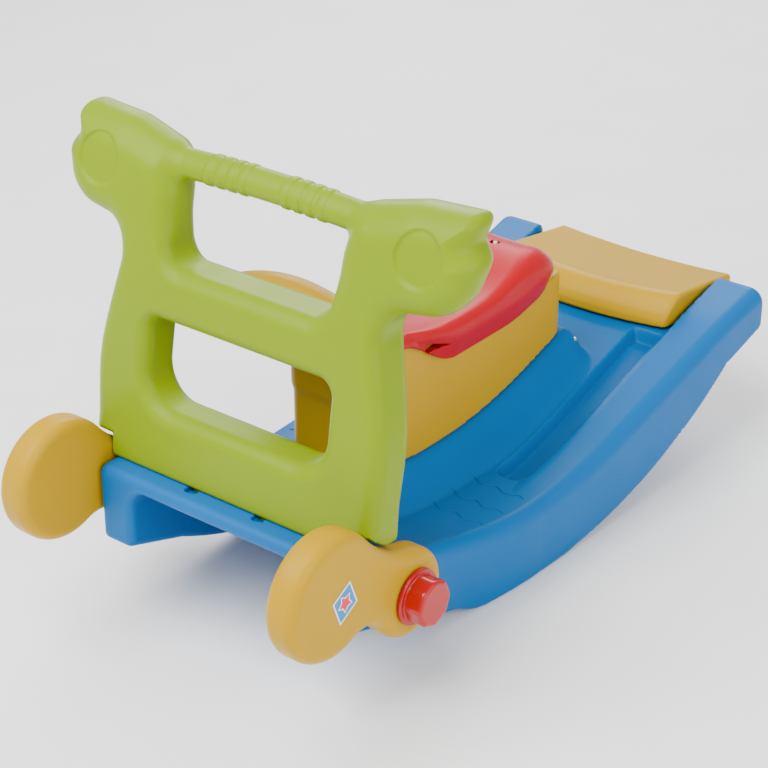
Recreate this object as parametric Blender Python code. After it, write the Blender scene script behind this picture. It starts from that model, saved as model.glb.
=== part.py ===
"""Convertible ride-on rocker: a blue rocking base, a saddle on a pedestal, a handle frame
with two animal heads, two swinging side arms clamped by hand knobs, and an end plate.

Metres, +Z up.  +X runs from the handle frame towards the end plate, +Y is the width.
The origin is on the floor, under the middle of the bounding box.
"""
from math import atan2, cos, pi, sin, sqrt, tan, radians

import bmesh
import bpy
from mathutils import Matrix, Vector

# ---------------------------------------------------------------- driving dimensions
GAP = 0.0003                     # air between touching mouldings

# rocking base, seen from the side
BASE_FRONT_X, BASE_END_X = -0.398, 0.468
RUNNER_RADIUS, RUNNER_MID_X = 0.68, -0.012
REST_MERGE_X, REST_FRONT_X, REST_END_X = -0.20, -0.115, 0.005   # flat under the centre of mass
DECK_RADIUS, DECK_LOW_X, DECK_LOW_Z = 0.64, -0.037, 0.0985
DECK_SLOPE = 0.30                # straight climb towards the end plate
FRONT_STOP_X, FRONT_STOP_Z, FRONT_STOP_SLOPE = -0.30, 0.0655, 0.33   # stop ahead of the arms
FRONT_LIFT_X, FRONT_LIFT = -0.366, 0.045
END_STOP_X, END_STOP_Z, END_STOP_SLOPE = 0.385, 0.1285, 0.31         # stop under the end plate
END_LIFT_X, END_LIFT = 0.437, 0.012
PLATFORM_Z, PLATFORM_END_X = 0.194, -0.296
DECK_START_X = -0.262
POCKET_X, POCKET_SLOPE = 0.31, 0.117      # seat of the end plate

# rocking base, seen from the front
SIDE_NARROW, SIDE_MIDDLE, SIDE_WIDE = 0.1735, 0.1925, 0.2125   # half widths: arms, middle, far end
SIDE_FLARE_X, SIDE_MIDDLE_X, SIDE_FULL_X = -0.205, -0.02, 0.46
RUNNER_THICK = 0.050
FLOOR_THICK, FLOOR_LEAST, PLATFORM_THICK = 0.034, 0.012, 0.020
UNDER_START_X, UNDER_FULL_X, UNDER_END_X = -0.37, -0.33, 0.40         # platform's underside, tail's underside
STRIP_DROP = 0.006
GROOVE_IN, GROOVE_OUT, GROOVE_DEPTH, GROOVE_START_X = 0.100, 0.141, 0.020, 0.012
GROOVE_RAMP, GROOVE_WALL_IN, GROOVE_WALL_OUT = 0.025, 0.007, 0.006
CURB_STEP, CURB_RAMP = 0.006, 0.04        # the curbs step outwards beside the end plate
CURB_EDGE = 0.018                # rounding of the curb's outer edge
RUNNER_EDGE, RUNNER_EDGE_IN = 0.010, 0.003
RIDGE_TOP_HALF, RIDGE_FOOT_HALF, RIDGE_HEIGHT = 0.052, 0.088, 0.052
RIDGE_END_X, RIDGE_RAMP = 0.268, 0.02

# handle frame
FOOT_X = -0.372                  # front face at its foot
FRAME_LEAN = radians(9.8)
FRAME_BOW, FRAME_BENDS, FRAME_HEIGHT = 0.008, 6, 0.39
FRAME_THICK, FRAME_TAPER, FRAME_EDGE = 0.055, 0.042, 0.0095   # thickness at the foot, its gain with height
HANDLE_Z, HANDLE_RADIUS, HANDLE_ARCH, HANDLE_SIDES = 0.3462, 0.0158, 0.004, 14
EYE_Y, EYE_Z, EYE_RADIUS, EYE_DEPTH = 0.2241, 0.3388, 0.0300, 0.0035
HANDLE_HALF, HANDLE_RINGS = 0.150, 10
TAB_Y, TAB_WIDTH, TAB_THICK, TAB_LENGTH, TAB_INSET = 0.050, 0.024, 0.009, 0.014, 0.012
TAB_BURIED, TAB_SLOT_EXTRA = 0.02, 0.001
RECESS_Y, RECESS_DEPTH, RECESS_GAP = 0.1762, 0.050, 0.0030    # room for the arms beside the frame's foot

# side arms and their knobs
PIVOT_X, PIVOT_Z = -0.308, 0.128
LOBE_X, LOBE_Z, LOBE_RADIUS = -0.440, 0.189, 0.0735
BOSS_RADIUS = 0.053
NECK_TOP_RADIUS, NECK_LOW_RADIUS = 0.15, 0.045
ARM_INNER_Y, ARM_THICK, ARM_EDGE = 0.1770, 0.041, 0.012
KNOB_FLANGE_RADIUS, KNOB_FLANGE_THICK = 0.0335, 0.006
KNOB_RADIUS, KNOB_LENGTH, KNOB_SIDES = 0.029, 0.029, 8
KNOB_BURIED, KNOB_CORE, KNOB_BORE_EXTRA = 0.002, 0.001, 0.004
BOLT_RADIUS, BOLT_HEAD_RADIUS, BOLT_HEAD_THICK = 0.004, 0.0095, 0.005
WASHER_RADIUS, WASHER_THICK = 0.012, 0.0016
BUSH_RADIUS, INSERT_RADIUS, INSERT_LENGTH = 0.0065, 0.0070, 0.016
LABEL_X, LABEL_Z, LABEL_RADIUS, LABEL_THICK = -0.428, 0.186, 0.022, 0.0005

# seat
PEDESTAL_HALF, PEDESTAL_FRONT_X, PEDESTAL_END_X = 0.050, -0.204, 0.235
PEDESTAL_EDGE, PEDESTAL_TIP, PEDESTAL_TIP_LENGTH = 0.006, 0.016, 0.018
PEDESTAL_LIMIT_Z, PEDESTAL_FALL, PEDESTAL_FALL_X = 0.300, 0.030, 0.19
POMMEL_X, POMMEL_Z, POMMEL_HALF, POMMEL_DEEP = -0.246, 0.424, 0.102, 0.019
POMMEL_ROOT_Z, POMMEL_SPREAD_Z, POMMEL_FULL_Z, POMMEL_CROWN_Z = 0.270, 0.285, 0.395, 0.392
POMMEL_INSET, POMMEL_NARROW, POMMEL_RINGS = 0.020, 0.003, 8
SADDLE_FRONT_X, SADDLE_END_X = -0.158, 0.236
SADDLE_DIP_X, SADDLE_DIP_Z, SADDLE_DIP_CURVE, SADDLE_SWELL = -0.01, 0.311, 0.9, 0.020
SADDLE_RIM_X, SADDLE_RIM_Z, SADDLE_RIM_CURVE = 0.145, 0.338, 5.0
SADDLE_HALF, SADDLE_NOSE_X, SADDLE_LEAST = 0.072, 0.150, 0.30
SADDLE_OVER_PEDESTAL, SADDLE_POCKET_GAP, SADDLE_WAIST = 0.012, 0.001, 0.0115
SKIRT_Z, SKIRT_FRONT_RISE, SKIRT_REAR_RISE = 0.256, 0.050, 0.022

# end plate
PLATE_LIP_X, PLATE_END_X, PLATE_HALF = 0.326, 0.509, 0.139
PLATE_LIP_Z, PLATE_END_Z, PLATE_DISH, PLATE_LIP_RISE = 0.224, 0.197, 0.006, 0.006
PLATE_NOSE, PLATE_NOSE_DROP, PLATE_NOSE_NARROW = 0.040, 0.034, 0.010
PLATE_EDGE, PLATE_OVERHANG_THICK, PLATE_SHOULDER = 0.005, 0.013, 0.6

# screws, their seats and how far they reach into the upper piece
SCREW_RADIUS, SCREW_HEAD_RADIUS, SCREW_HEAD_THICK, SCREW_SIDES = 0.0022, 0.0045, 0.0025, 8
PEDESTAL_SCREW_SEAT, PEDESTAL_SCREW_REACH, PEDESTAL_HOLE_REACH = 0.0016, 0.024, 0.030
PLATE_SCREW_SEAT, PLATE_SCREW_REACH, PLATE_HOLE_REACH = 0.0032, 0.010, 0.012
SADDLE_SCREW_SINK, SADDLE_SCREW_LENGTH = 0.006, 0.026
RIDGE_SCREW_SINK, RIDGE_SCREW_LENGTH, RIDGE_HOLE_DEPTH = 0.003, 0.010, 0.012
HOLE_SIDES, SINK_SIDES, BORE_SIDES = 8, 12, 16
FLOOR_HOLE_LOW_Z, FLOOR_HOLE_HIGH_Z = 0.04, 0.26      # ends of the tools that cut through the deck
SADDLE_HOLE_LOW_Z, SADDLE_HOLE_HIGH_Z, SADDLE_SINK_HIGH_Z = 0.26, 0.36, 0.40
BORE_LOW_Y, BORE_HIGH_Y, ARM_BORE_LOW_Y, ARM_BORE_HIGH_Y = 0.10, 0.19, 0.15, 0.25

GREEN, BLUE, YELLOW, RED = (0.45, 0.60, 0.03), (0.0, 0.26, 0.72), (0.90, 0.50, 0.03), (0.72, 0.03, 0.05)
STEEL, BRASS, NYLON, PAPER = (0.55, 0.56, 0.58), (0.72, 0.52, 0.20), (0.85, 0.84, 0.80), (0.05, 0.30, 0.65)


# ---------------------------------------------------------------- helpers
def material(name, colour, roughness=0.38, metallic=0.0):
    made = bpy.data.materials.get(name)
    if made is None:
        made = bpy.data.materials.new(name)
        made.use_nodes = True
        shader = made.node_tree.nodes["Principled BSDF"]
        shader.inputs["Base Color"].default_value = (*colour, 1.0)
        shader.inputs["Roughness"].default_value = roughness
        shader.inputs["Metallic"].default_value = metallic
        made.diffuse_color = (*colour, 1.0)
    return made


def smoothstep(low, high, value):
    t = min(1.0, max(0.0, (value - low) / (high - low)))
    return t * t * (3.0 - 2.0 * t)


def rounded_outline(corners, step=0.35):
    """Closed outline through (a, b, radius) corners, each rounded by an arc."""
    outline = []
    count = len(corners)
    for i, (a, b, radius) in enumerate(corners):
        here = Vector((a, b))
        before = (Vector(corners[i - 1][:2]) - here).normalized()
        after = (Vector(corners[(i + 1) % count][:2]) - here).normalized()
        half = before.angle(after) / 2.0
        turn = pi - 2.0 * half
        if radius == 0.0 or turn < 0.02:
            outline.append(here)
            continue
        centre = here + (before + after).normalized() * (radius / sin(half))
        start = here + before * (radius / tan(half)) - centre
        sense = -1.0 if before.x * after.y - before.y * after.x > 0.0 else 1.0
        pieces = max(2, round(turn / step))
        for k in range(pieces + 1):
            angle = sense * turn * k / pieces
            arm = Vector((start.x * cos(angle) - start.y * sin(angle),
                          start.x * sin(angle) + start.y * cos(angle)))
            outline.append(centre + arm)
    return outline


def face_outwards(bm):
    """Makes the faces agree with each other and point out of the body."""
    bmesh.ops.recalc_face_normals(bm, faces=bm.faces)
    if bm.calc_volume(signed=True) < 0.0:
        bmesh.ops.reverse_faces(bm, faces=bm.faces)


def finish(name, mesh_data, look, smooth=35.0):
    thing = bpy.data.objects.new(name, mesh_data)
    bpy.context.scene.collection.objects.link(thing)
    mesh_data.materials.append(look)
    mesh_data.shade_smooth()
    mesh_data.set_sharp_from_angle(angle=radians(smooth))
    return thing


def solid(name, build, look):
    """Runs build(bm) and turns the result into an object with its faces pointing out."""
    bm = bmesh.new()
    build(bm)
    bmesh.ops.remove_doubles(bm, verts=bm.verts, dist=1e-6)
    face_outwards(bm)
    data = bpy.data.meshes.new(name)
    bm.to_mesh(data)
    bm.free()
    return finish(name, data, look)


def loft(name, rings, look):
    """Skins rings of equally many points and closes both ends."""
    def build(bm):
        rows = [[bm.verts.new(point) for point in ring] for ring in rings]
        size = len(rows[0])
        for low, high in zip(rows, rows[1:]):
            for i in range(size):
                j = (i + 1) % size
                bm.faces.new((low[i], low[j], high[j], high[i]))
        bm.faces.new(rows[0])
        bm.faces.new(rows[-1])
    return solid(name, build, look)


def plate_of(name, outlines, thick, edge, look):
    """Extrudes flat outlines (the later ones are holes) by thick, with rounded edges."""
    curve = bpy.data.curves.new(name, "CURVE")
    curve.dimensions = "2D"
    curve.fill_mode = "BOTH"
    curve.extrude = thick / 2.0 - edge
    curve.bevel_depth = edge
    curve.bevel_resolution = 1
    curve.offset = -edge
    for outline in outlines:
        spline = curve.splines.new("POLY")
        spline.points.add(len(outline) - 1)
        for point, place in zip(spline.points, outline):
            point.co = (place[0], place[1], 0.0, 1.0)
        spline.use_cyclic_u = True
    source = bpy.data.objects.new(name, curve)
    bpy.context.scene.collection.objects.link(source)
    bpy.context.view_layer.update()
    evaluated = source.evaluated_get(bpy.context.evaluated_depsgraph_get())
    data = bpy.data.meshes.new_from_object(evaluated)
    bpy.data.objects.remove(source)
    bpy.data.curves.remove(curve)
    bm = bmesh.new()
    bm.from_mesh(data)
    bmesh.ops.remove_doubles(bm, verts=bm.verts, dist=1e-5)
    face_outwards(bm)
    bm.to_mesh(data)
    bm.free()
    data.name = name
    data.materials.clear()
    return finish(name, data, look)


def turned(name, profile, sides, look, centre, axis_sign=1.0):
    """Revolves (radius, distance) points about a line along Y through centre."""
    def build(bm):
        rings = []
        for radius, along in profile:
            rings.append([bm.verts.new((centre[0] + radius * cos(2 * pi * (k + 0.5) / sides),
                                        centre[1] + axis_sign * along,
                                        centre[2] + radius * sin(2 * pi * (k + 0.5) / sides)))
                          for k in range(sides)])
        for low, high in zip(rings, rings[1:] + rings[:1]):
            for k in range(sides):
                j = (k + 1) % sides
                bm.faces.new((low[k], low[j], high[j], high[k]))
    return solid(name, build, look)


def rod(name, radius, start, end, look, sides=12):
    """Plain round bar between two points; one on the -Y side mirrors one on the +Y side."""
    start, end = Vector(start), Vector(end)
    side = -1.0 if start.y + end.y < 0.0 else 1.0
    start.y, end.y = side * start.y, side * end.y
    turn = (end - start).to_track_quat("Z", "Y").to_matrix().to_4x4()

    def build(bm):
        bmesh.ops.create_cone(bm, cap_ends=True, segments=sides, radius1=radius, radius2=radius,
                              depth=(end - start).length,
                              matrix=Matrix.Translation((start + end) / 2.0) @ turn)
        for vert in bm.verts:
            vert.co.y *= side
    return solid(name, build, look)


def block(name, low, high, look):
    def build(bm):
        bmesh.ops.create_cube(bm, size=1.0)
        for vert in bm.verts:
            for i in range(3):
                vert.co[i] = low[i] if vert.co[i] < 0.0 else high[i]
    return solid(name, build, look)


def combine(target, tool, operation="DIFFERENCE", solver="EXACT"):
    """Applies a Boolean of tool to target and removes the tool."""
    modifier = target.modifiers.new(operation.title(), "BOOLEAN")
    modifier.operation = operation
    modifier.object = tool
    modifier.solver = solver
    bpy.context.view_layer.update()
    evaluated = target.evaluated_get(bpy.context.evaluated_depsgraph_get())
    result = bpy.data.meshes.new_from_object(evaluated)
    target.modifiers.clear()
    result.name = target.name
    target.data = result
    bpy.data.objects.remove(tool)


def drill(target, radius, x, y, low, high, sides=HOLE_SIDES):
    """Cuts an upright round hole between two heights."""
    combine(target, rod("hole", radius, (x, y, low), (x, y, high), None, sides))


def set_origin(thing, place):
    place = Vector(place)
    thing.data.transform(Matrix.Translation(-place))
    thing.location = place


# ---------------------------------------------------------------- rocking base
def deck_height(x):
    """Top of the curbs: flat under the handle frame, an arc, then a straight climb."""
    reach = DECK_RADIUS * DECK_SLOPE / sqrt(1.0 + DECK_SLOPE ** 2)
    offset = x - DECK_LOW_X
    if offset < reach:
        height = DECK_LOW_Z + DECK_RADIUS - sqrt(DECK_RADIUS ** 2 - offset ** 2)
    else:
        height = DECK_LOW_Z + DECK_RADIUS - sqrt(DECK_RADIUS ** 2 - reach ** 2)
        height += DECK_SLOPE * (offset - reach)
    blend = smoothstep(PLATFORM_END_X, DECK_START_X, x)
    return PLATFORM_Z * (1.0 - blend) + height * blend


def strip_height(x):
    """Walking strip between curb and ridge; it flattens where the end plate sits."""
    drop = STRIP_DROP * smoothstep(PLATFORM_END_X, DECK_START_X, x)
    pocket = deck_height(POCKET_X) - STRIP_DROP + POCKET_SLOPE * (x - POCKET_X)
    return min(deck_height(x) - drop, pocket) if x > POCKET_X else deck_height(x) - drop


def ridge_height(x):
    """Central ridge that carries the seat; it starts level with the platform."""
    raised = strip_height(x) + RIDGE_HEIGHT * (1.0 - smoothstep(RIDGE_END_X - RIDGE_RAMP, RIDGE_END_X, x))
    start = smoothstep(PLATFORM_END_X, DECK_START_X + RIDGE_RAMP, x)
    return PLATFORM_Z * (1.0 - start) + raised * start


def runner_height(x):
    """Underside of the runners: one long arc with a flat to rest on and a short stop at each end."""
    arc = RUNNER_RADIUS - sqrt(RUNNER_RADIUS ** 2 - (x - RUNNER_MID_X) ** 2)
    if REST_FRONT_X <= x <= REST_END_X:
        return 0.0
    if REST_MERGE_X < x < REST_FRONT_X:
        return runner_height(REST_MERGE_X) * (REST_FRONT_X - x) / (REST_FRONT_X - REST_MERGE_X)
    if x < FRONT_STOP_X:
        stop = FRONT_STOP_Z + FRONT_STOP_SLOPE * (FRONT_STOP_X - x)
        return min(arc, stop) + FRONT_LIFT * smoothstep(FRONT_LIFT_X, BASE_FRONT_X, x)
    if x > END_STOP_X:
        stop = END_STOP_Z + END_STOP_SLOPE * (x - END_STOP_X)
        return min(arc, stop) + END_LIFT * smoothstep(END_LIFT_X, BASE_END_X, x) ** 2
    return arc


def side_half(x):
    """Half width of the base: it swells behind the arms, then widens evenly."""
    along = min(1.0, max(0.0, (x - SIDE_MIDDLE_X) / (SIDE_FULL_X - SIDE_MIDDLE_X)))
    swell = (SIDE_MIDDLE - SIDE_NARROW) * smoothstep(SIDE_FLARE_X, SIDE_MIDDLE_X, x)
    return SIDE_NARROW + swell + (SIDE_WIDE - SIDE_MIDDLE) * along


def base_section(x):
    """Half of the base's outline across the width at x, from the top middle outwards."""
    curb, strip, ridge, low = deck_height(x), strip_height(x), ridge_height(x), runner_height(x)
    half = side_half(x)
    inner = half - RUNNER_THICK
    ramp_end = GROOVE_START_X + GROOVE_RAMP
    groove = curb - STRIP_DROP - GROOVE_DEPTH * smoothstep(GROOVE_START_X, ramp_end, x)
    groove = min(groove, strip) if x < POCKET_X else strip
    outer = GROOVE_OUT + CURB_STEP * smoothstep(POCKET_X - CURB_RAMP, POCKET_X, x)
    under = min(curb - FLOOR_THICK, strip - FLOOR_LEAST)
    under = under + (PLATFORM_Z - PLATFORM_THICK - under) * (1.0 - smoothstep(UNDER_START_X, UNDER_FULL_X, x))
    under = max(under, low + FLOOR_LEAST) if x > UNDER_END_X else under
    edge, foot, foot_in = CURB_EDGE, RUNNER_EDGE, RUNNER_EDGE_IN
    return [(0.0, ridge), (RIDGE_TOP_HALF - 0.006, ridge),
            (RIDGE_TOP_HALF + 0.004, ridge - 0.10 * (ridge - strip)),
            (RIDGE_FOOT_HALF - 0.012, strip + 0.22 * (ridge - strip)), (RIDGE_FOOT_HALF, strip),
            (GROOVE_IN, strip), (GROOVE_IN + GROOVE_WALL_IN, groove), (outer - GROOVE_WALL_OUT, groove),
            (outer, curb), (half - edge, curb), (half - edge * 0.4, curb - edge * 0.16),
            (half - edge * 0.08, curb - edge * 0.5), (half, curb - edge * 1.1),
            (half, low + foot), (half - foot_in, low + foot_in), (half - foot, low),
            (inner + foot, low), (inner + foot_in, low + foot_in), (inner, low + foot),
            (inner, under), (0.0, under)]


STATIONS = [BASE_FRONT_X, -0.394, -0.388, -0.380, -0.370, -0.355, -0.335, -0.315, PLATFORM_END_X,
            -0.285, -0.274, DECK_START_X, -0.235, REST_MERGE_X, -0.16, REST_FRONT_X, -0.08, -0.04,
            REST_END_X, GROOVE_START_X, 0.024, 0.037, 0.08, 0.12, 0.16, 0.20, 0.235, 0.248, 0.258,
            RIDGE_END_X, POCKET_X, 0.35, 0.385, 0.415, 0.437, 0.450, 0.460, BASE_END_X]


def between_stations(height, x):
    """Height of the base at x, which is straight between its stations."""
    for x0, x1 in zip(STATIONS, STATIONS[1:]):
        if x0 <= x <= x1:
            t = (x - x0) / (x1 - x0)
            return height(x0) * (1.0 - t) + height(x1) * t
    return height(x)


def with_base_stations(own):
    """Own stations plus the base's between the first and the last."""
    return sorted(set(own) | {x for x in STATIONS if own[0] < x < own[-1]})


def make_base():
    rings = []
    for x in STATIONS:
        half = base_section(x)
        mirrored = [(-y, z) for y, z in reversed(half[1:-1])]
        rings.append([(x, y, z) for y, z in half + mirrored])
    base = loft("rocker_base", rings, material("blue_plastic", BLUE))
    for side in (-1, 1):
        bore = rod("bore", BOLT_RADIUS + GAP, (PIVOT_X, side * BORE_LOW_Y, PIVOT_Z),
                   (PIVOT_X, side * BORE_HIGH_Y, PIVOT_Z), None)
        combine(base, bore)
        combine(base, frame_tab(side, GAP * 2.0, TAB_LENGTH + TAB_SLOT_EXTRA))
    for x, y in PEDESTAL_SCREWS + PLATE_SCREWS:
        drill(base, SCREW_RADIUS + GAP, x, y, FLOOR_HOLE_LOW_Z, FLOOR_HOLE_HIGH_Z)
    for x, y in RIDGE_SCREWS:
        top = ridge_flank_height(x, abs(y)) - RIDGE_SCREW_SINK
        drill(base, SCREW_RADIUS + GAP, x, y, top - RIDGE_HOLE_DEPTH, top + 0.01)
        drill(base, SCREW_HEAD_RADIUS + 2 * GAP, x, y, top - GAP, top + 0.03, SINK_SIDES)
    return base


def ridge_flank_height(x, y):
    """Height of the ridge's sloping flank at a distance y from the middle."""
    section = base_section(x)
    for (y0, z0), (y1, z1) in zip(section, section[1:]):
        if y0 <= y <= y1 and y1 > y0:
            return z0 + (z1 - z0) * (y - y0) / (y1 - y0)
    return section[0][1]


# ---------------------------------------------------------------- handle frame
def lean(z):
    """Shift of the frame towards the rider at height z above its foot, straight between bends."""
    t = min(1.0, max(0.0, z / FRAME_HEIGHT)) * FRAME_BENDS
    bows = [FRAME_BOW * 4.0 * (k / FRAME_BENDS) * (1.0 - k / FRAME_BENDS) for k in range(FRAME_BENDS + 2)]
    bow = bows[int(t)] + (t - int(t)) * (bows[int(t) + 1] - bows[int(t)])
    return z * tan(FRAME_LEAN) - bow * (t < FRAME_BENDS)


def frame_stretch(z):
    """Thickness of the frame at height z over its thickness at the foot."""
    return 1.0 + FRAME_TAPER * z / FRAME_THICK


def frame_tab(side, grow, length):
    """Tongue under the frame's foot; grown a little it is also its slot in the base."""
    x = FOOT_X + TAB_INSET
    low = (x - grow, side * TAB_Y - TAB_WIDTH / 2 - grow, PLATFORM_Z - length)
    high = (x + TAB_THICK + grow, side * TAB_Y + TAB_WIDTH / 2 + grow, PLATFORM_Z + TAB_BURIED)
    tab = block("tab", low, high, None)
    for vert in tab.data.vertices:
        vert.co.x += (vert.co.z - PLATFORM_Z) * tan(FRAME_LEAN)
    return tab


# half width, height and rounding of the frame's corners: foot, cheek, muzzle, ear, crown, upper window
FRAME_HALF = [(0.1845, 0.0, 0.014), (0.206, 0.040, 0.050), (0.2095, 0.125, 0.25), (0.176, 0.269, 0.035),
              (0.271, 0.282, 0.050), (0.287, 0.340, 0.020), (0.2725, 0.357, 0.008), (0.280, 0.388, 0.012),
              (0.200, 0.383, 0.060), (0.128, 0.365, 0.030), (0.1165, 0.318, 0.10), (0.115, 0.2405, 0.024)]
LOWER_WINDOW = [(0.131, 0.0755, 0.042), (0.131, 0.1800, 0.016)]


def make_frame():
    corners = FRAME_HALF + [(-y, z, radius) for y, z, radius in reversed(FRAME_HALF)]
    window = LOWER_WINDOW + [(-y, z, radius) for y, z, radius in reversed(LOWER_WINDOW)]
    look = material("green_plastic", GREEN)
    frame = plate_of("handle_frame", [rounded_outline(corners), rounded_outline(window)],
                     FRAME_THICK, FRAME_EDGE, look)
    for side in (-1, 1):
        dish = rod("dish", EYE_RADIUS, (side * EYE_Y, EYE_Z, FRAME_THICK / 2 - EYE_DEPTH),
                   (side * EYE_Y, EYE_Z, FRAME_THICK / 2 + 0.01), None, 24)
        combine(frame, dish)
    rings = []
    turns = [2 * pi * (i + 0.5) / HANDLE_SIDES for i in range(HANDLE_SIDES)]
    for k in range(HANDLE_RINGS + 1):
        y = -HANDLE_HALF + 2 * HANDLE_HALF * k / HANDLE_RINGS
        z = HANDLE_Z + HANDLE_ARCH * cos(pi * y / (2 * HANDLE_HALF))
        flat = HANDLE_RADIUS / frame_stretch(HANDLE_Z)
        rings.append([(y, z + HANDLE_RADIUS * sin(angle), flat * cos(angle)) for angle in turns])
    combine(frame, loft("bar", rings, None), "UNION")
    cut_level(frame, [FRAME_HEIGHT * k / FRAME_BENDS for k in range(1, FRAME_BENDS)])
    for vert in frame.data.vertices:
        y, z, depth = vert.co
        back = (FRAME_THICK / 2 - depth) * frame_stretch(z)
        vert.co = (FOOT_X + back + lean(z), y, PLATFORM_Z + GAP + z)
    flip_if_inside_out(frame)
    for side in (-1, 1):
        walls = [[(x, side * y, z) for x, z in arm_outline(RECESS_GAP)]
                 for y in (RECESS_Y, RECESS_Y + RECESS_DEPTH)]
        combine(frame, loft("recess", walls, None), "DIFFERENCE", "MANIFOLD")
    for side in (-1, 1):
        combine(frame, frame_tab(side, 0.0, TAB_LENGTH), "UNION", "MANIFOLD")
    return frame


def cut_level(thing, heights):
    """Cuts the faces along flat levels of the mesh's second axis, so that it can bend there."""
    bm = bmesh.new()
    bm.from_mesh(thing.data)
    for height in heights:
        bmesh.ops.bisect_plane(bm, geom=list(bm.verts) + list(bm.edges) + list(bm.faces),
                               plane_co=(0.0, height, 0.0), plane_no=(0.0, 1.0, 0.0))
    bm.to_mesh(thing.data)
    bm.free()


def flip_if_inside_out(thing):
    bm = bmesh.new()
    bm.from_mesh(thing.data)
    face_outwards(bm)
    turned_mesh = bpy.data.meshes.new(thing.name)
    bm.to_mesh(turned_mesh)
    bm.free()
    for look in thing.data.materials:
        turned_mesh.materials.append(look)
    thing.data = turned_mesh


# ---------------------------------------------------------------- side arms
def arm_outline(grow=0.0):
    """Two discs joined by hollow arcs that touch both of them."""
    lobe, boss = Vector((LOBE_X, LOBE_Z)), Vector((PIVOT_X, PIVOT_Z))
    lobe_radius, boss_radius = LOBE_RADIUS + grow, BOSS_RADIUS + grow
    top_radius, low_radius = NECK_TOP_RADIUS - grow, NECK_LOW_RADIUS - grow
    along = (boss - lobe).normalized()
    across = Vector((-along.y, along.x))
    distance = (boss - lobe).length

    def neck(radius, side):
        reach = (distance ** 2 + (lobe_radius + radius) ** 2 - (boss_radius + radius) ** 2) / (2 * distance)
        rise = sqrt((lobe_radius + radius) ** 2 - reach ** 2)
        return lobe + along * reach + across * (side * rise)

    def touch(centre, radius, other):
        return centre + (other - centre).normalized() * radius

    upper, lower = neck(top_radius, 1), neck(low_radius, -1)
    points = []

    def sweep(centre, radius, start, end, turning, steps):
        first = atan2(start.y - centre.y, start.x - centre.x)
        last = atan2(end.y - centre.y, end.x - centre.x)
        while turning * (last - first) < 0.0:
            last += turning * 2 * pi
        for k in range(steps):
            angle = first + (last - first) * k / steps
            points.append(centre + Vector((cos(angle), sin(angle))) * radius)

    lobe_ends = touch(lobe, lobe_radius, upper), touch(lobe, lobe_radius, lower)
    boss_ends = touch(boss, boss_radius, lower), touch(boss, boss_radius, upper)
    sweep(lobe, lobe_radius, lobe_ends[0], lobe_ends[1], 1, 18)
    sweep(lower, low_radius, lobe_ends[1], boss_ends[0], -1, 5)
    sweep(boss, boss_radius, boss_ends[0], boss_ends[1], 1, 12)
    sweep(upper, top_radius, boss_ends[1], lobe_ends[0], -1, 5)
    return points


def make_arm(side, word):
    look = material("yellow_plastic", YELLOW)
    arm = plate_of("arm_" + word, [arm_outline()], ARM_THICK, ARM_EDGE, look)
    middle = side * (ARM_INNER_Y + ARM_THICK / 2)
    for vert in arm.data.vertices:
        x, z, depth = vert.co
        vert.co = (x, middle - depth, z)
    flip_if_inside_out(arm)
    combine(arm, rod("bore", BUSH_RADIUS + GAP, (PIVOT_X, side * ARM_BORE_LOW_Y, PIVOT_Z),
                     (PIVOT_X, side * ARM_BORE_HIGH_Y, PIVOT_Z), None, BORE_SIDES))
    set_origin(arm, (PIVOT_X, middle, PIVOT_Z))
    return arm


def make_knob(side, word):
    seat = side * (ARM_INNER_Y + ARM_THICK + GAP)
    look = material("red_plastic", RED, 0.25)
    buried = KNOB_FLANGE_THICK - KNOB_BURIED
    flange = [(KNOB_CORE, 0.0), (KNOB_FLANGE_RADIUS - 0.001, 0.0), (KNOB_FLANGE_RADIUS, 0.001),
              (KNOB_FLANGE_RADIUS, buried), (KNOB_FLANGE_RADIUS - KNOB_BURIED, KNOB_FLANGE_THICK),
              (KNOB_CORE, KNOB_FLANGE_THICK)]
    knob = turned("knob_" + word, flange, 32, look, (PIVOT_X, seat, PIVOT_Z), side)
    shape = [(KNOB_CORE, buried), (KNOB_RADIUS, buried),
             (KNOB_RADIUS - 0.0005, KNOB_LENGTH - 0.005), (KNOB_RADIUS - 0.003, KNOB_LENGTH - 0.0012),
             (KNOB_RADIUS - 0.009, KNOB_LENGTH), (KNOB_CORE, KNOB_LENGTH)]
    combine(knob, turned("grip", shape, KNOB_SIDES, look, (PIVOT_X, seat, PIVOT_Z), side), "UNION")
    combine(knob, rod("plug", 0.004, (PIVOT_X, seat + side * 0.0005, PIVOT_Z),
                      (PIVOT_X, seat + side * (KNOB_LENGTH - 0.0005), PIVOT_Z), look), "UNION")
    combine(knob, rod("bore", INSERT_RADIUS + GAP, (PIVOT_X, seat - side * 0.01, PIVOT_Z),
                      (PIVOT_X, seat + side * (INSERT_LENGTH + KNOB_BORE_EXTRA), PIVOT_Z), None, BORE_SIDES))
    set_origin(knob, (PIVOT_X, seat, PIVOT_Z))
    return knob


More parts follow.
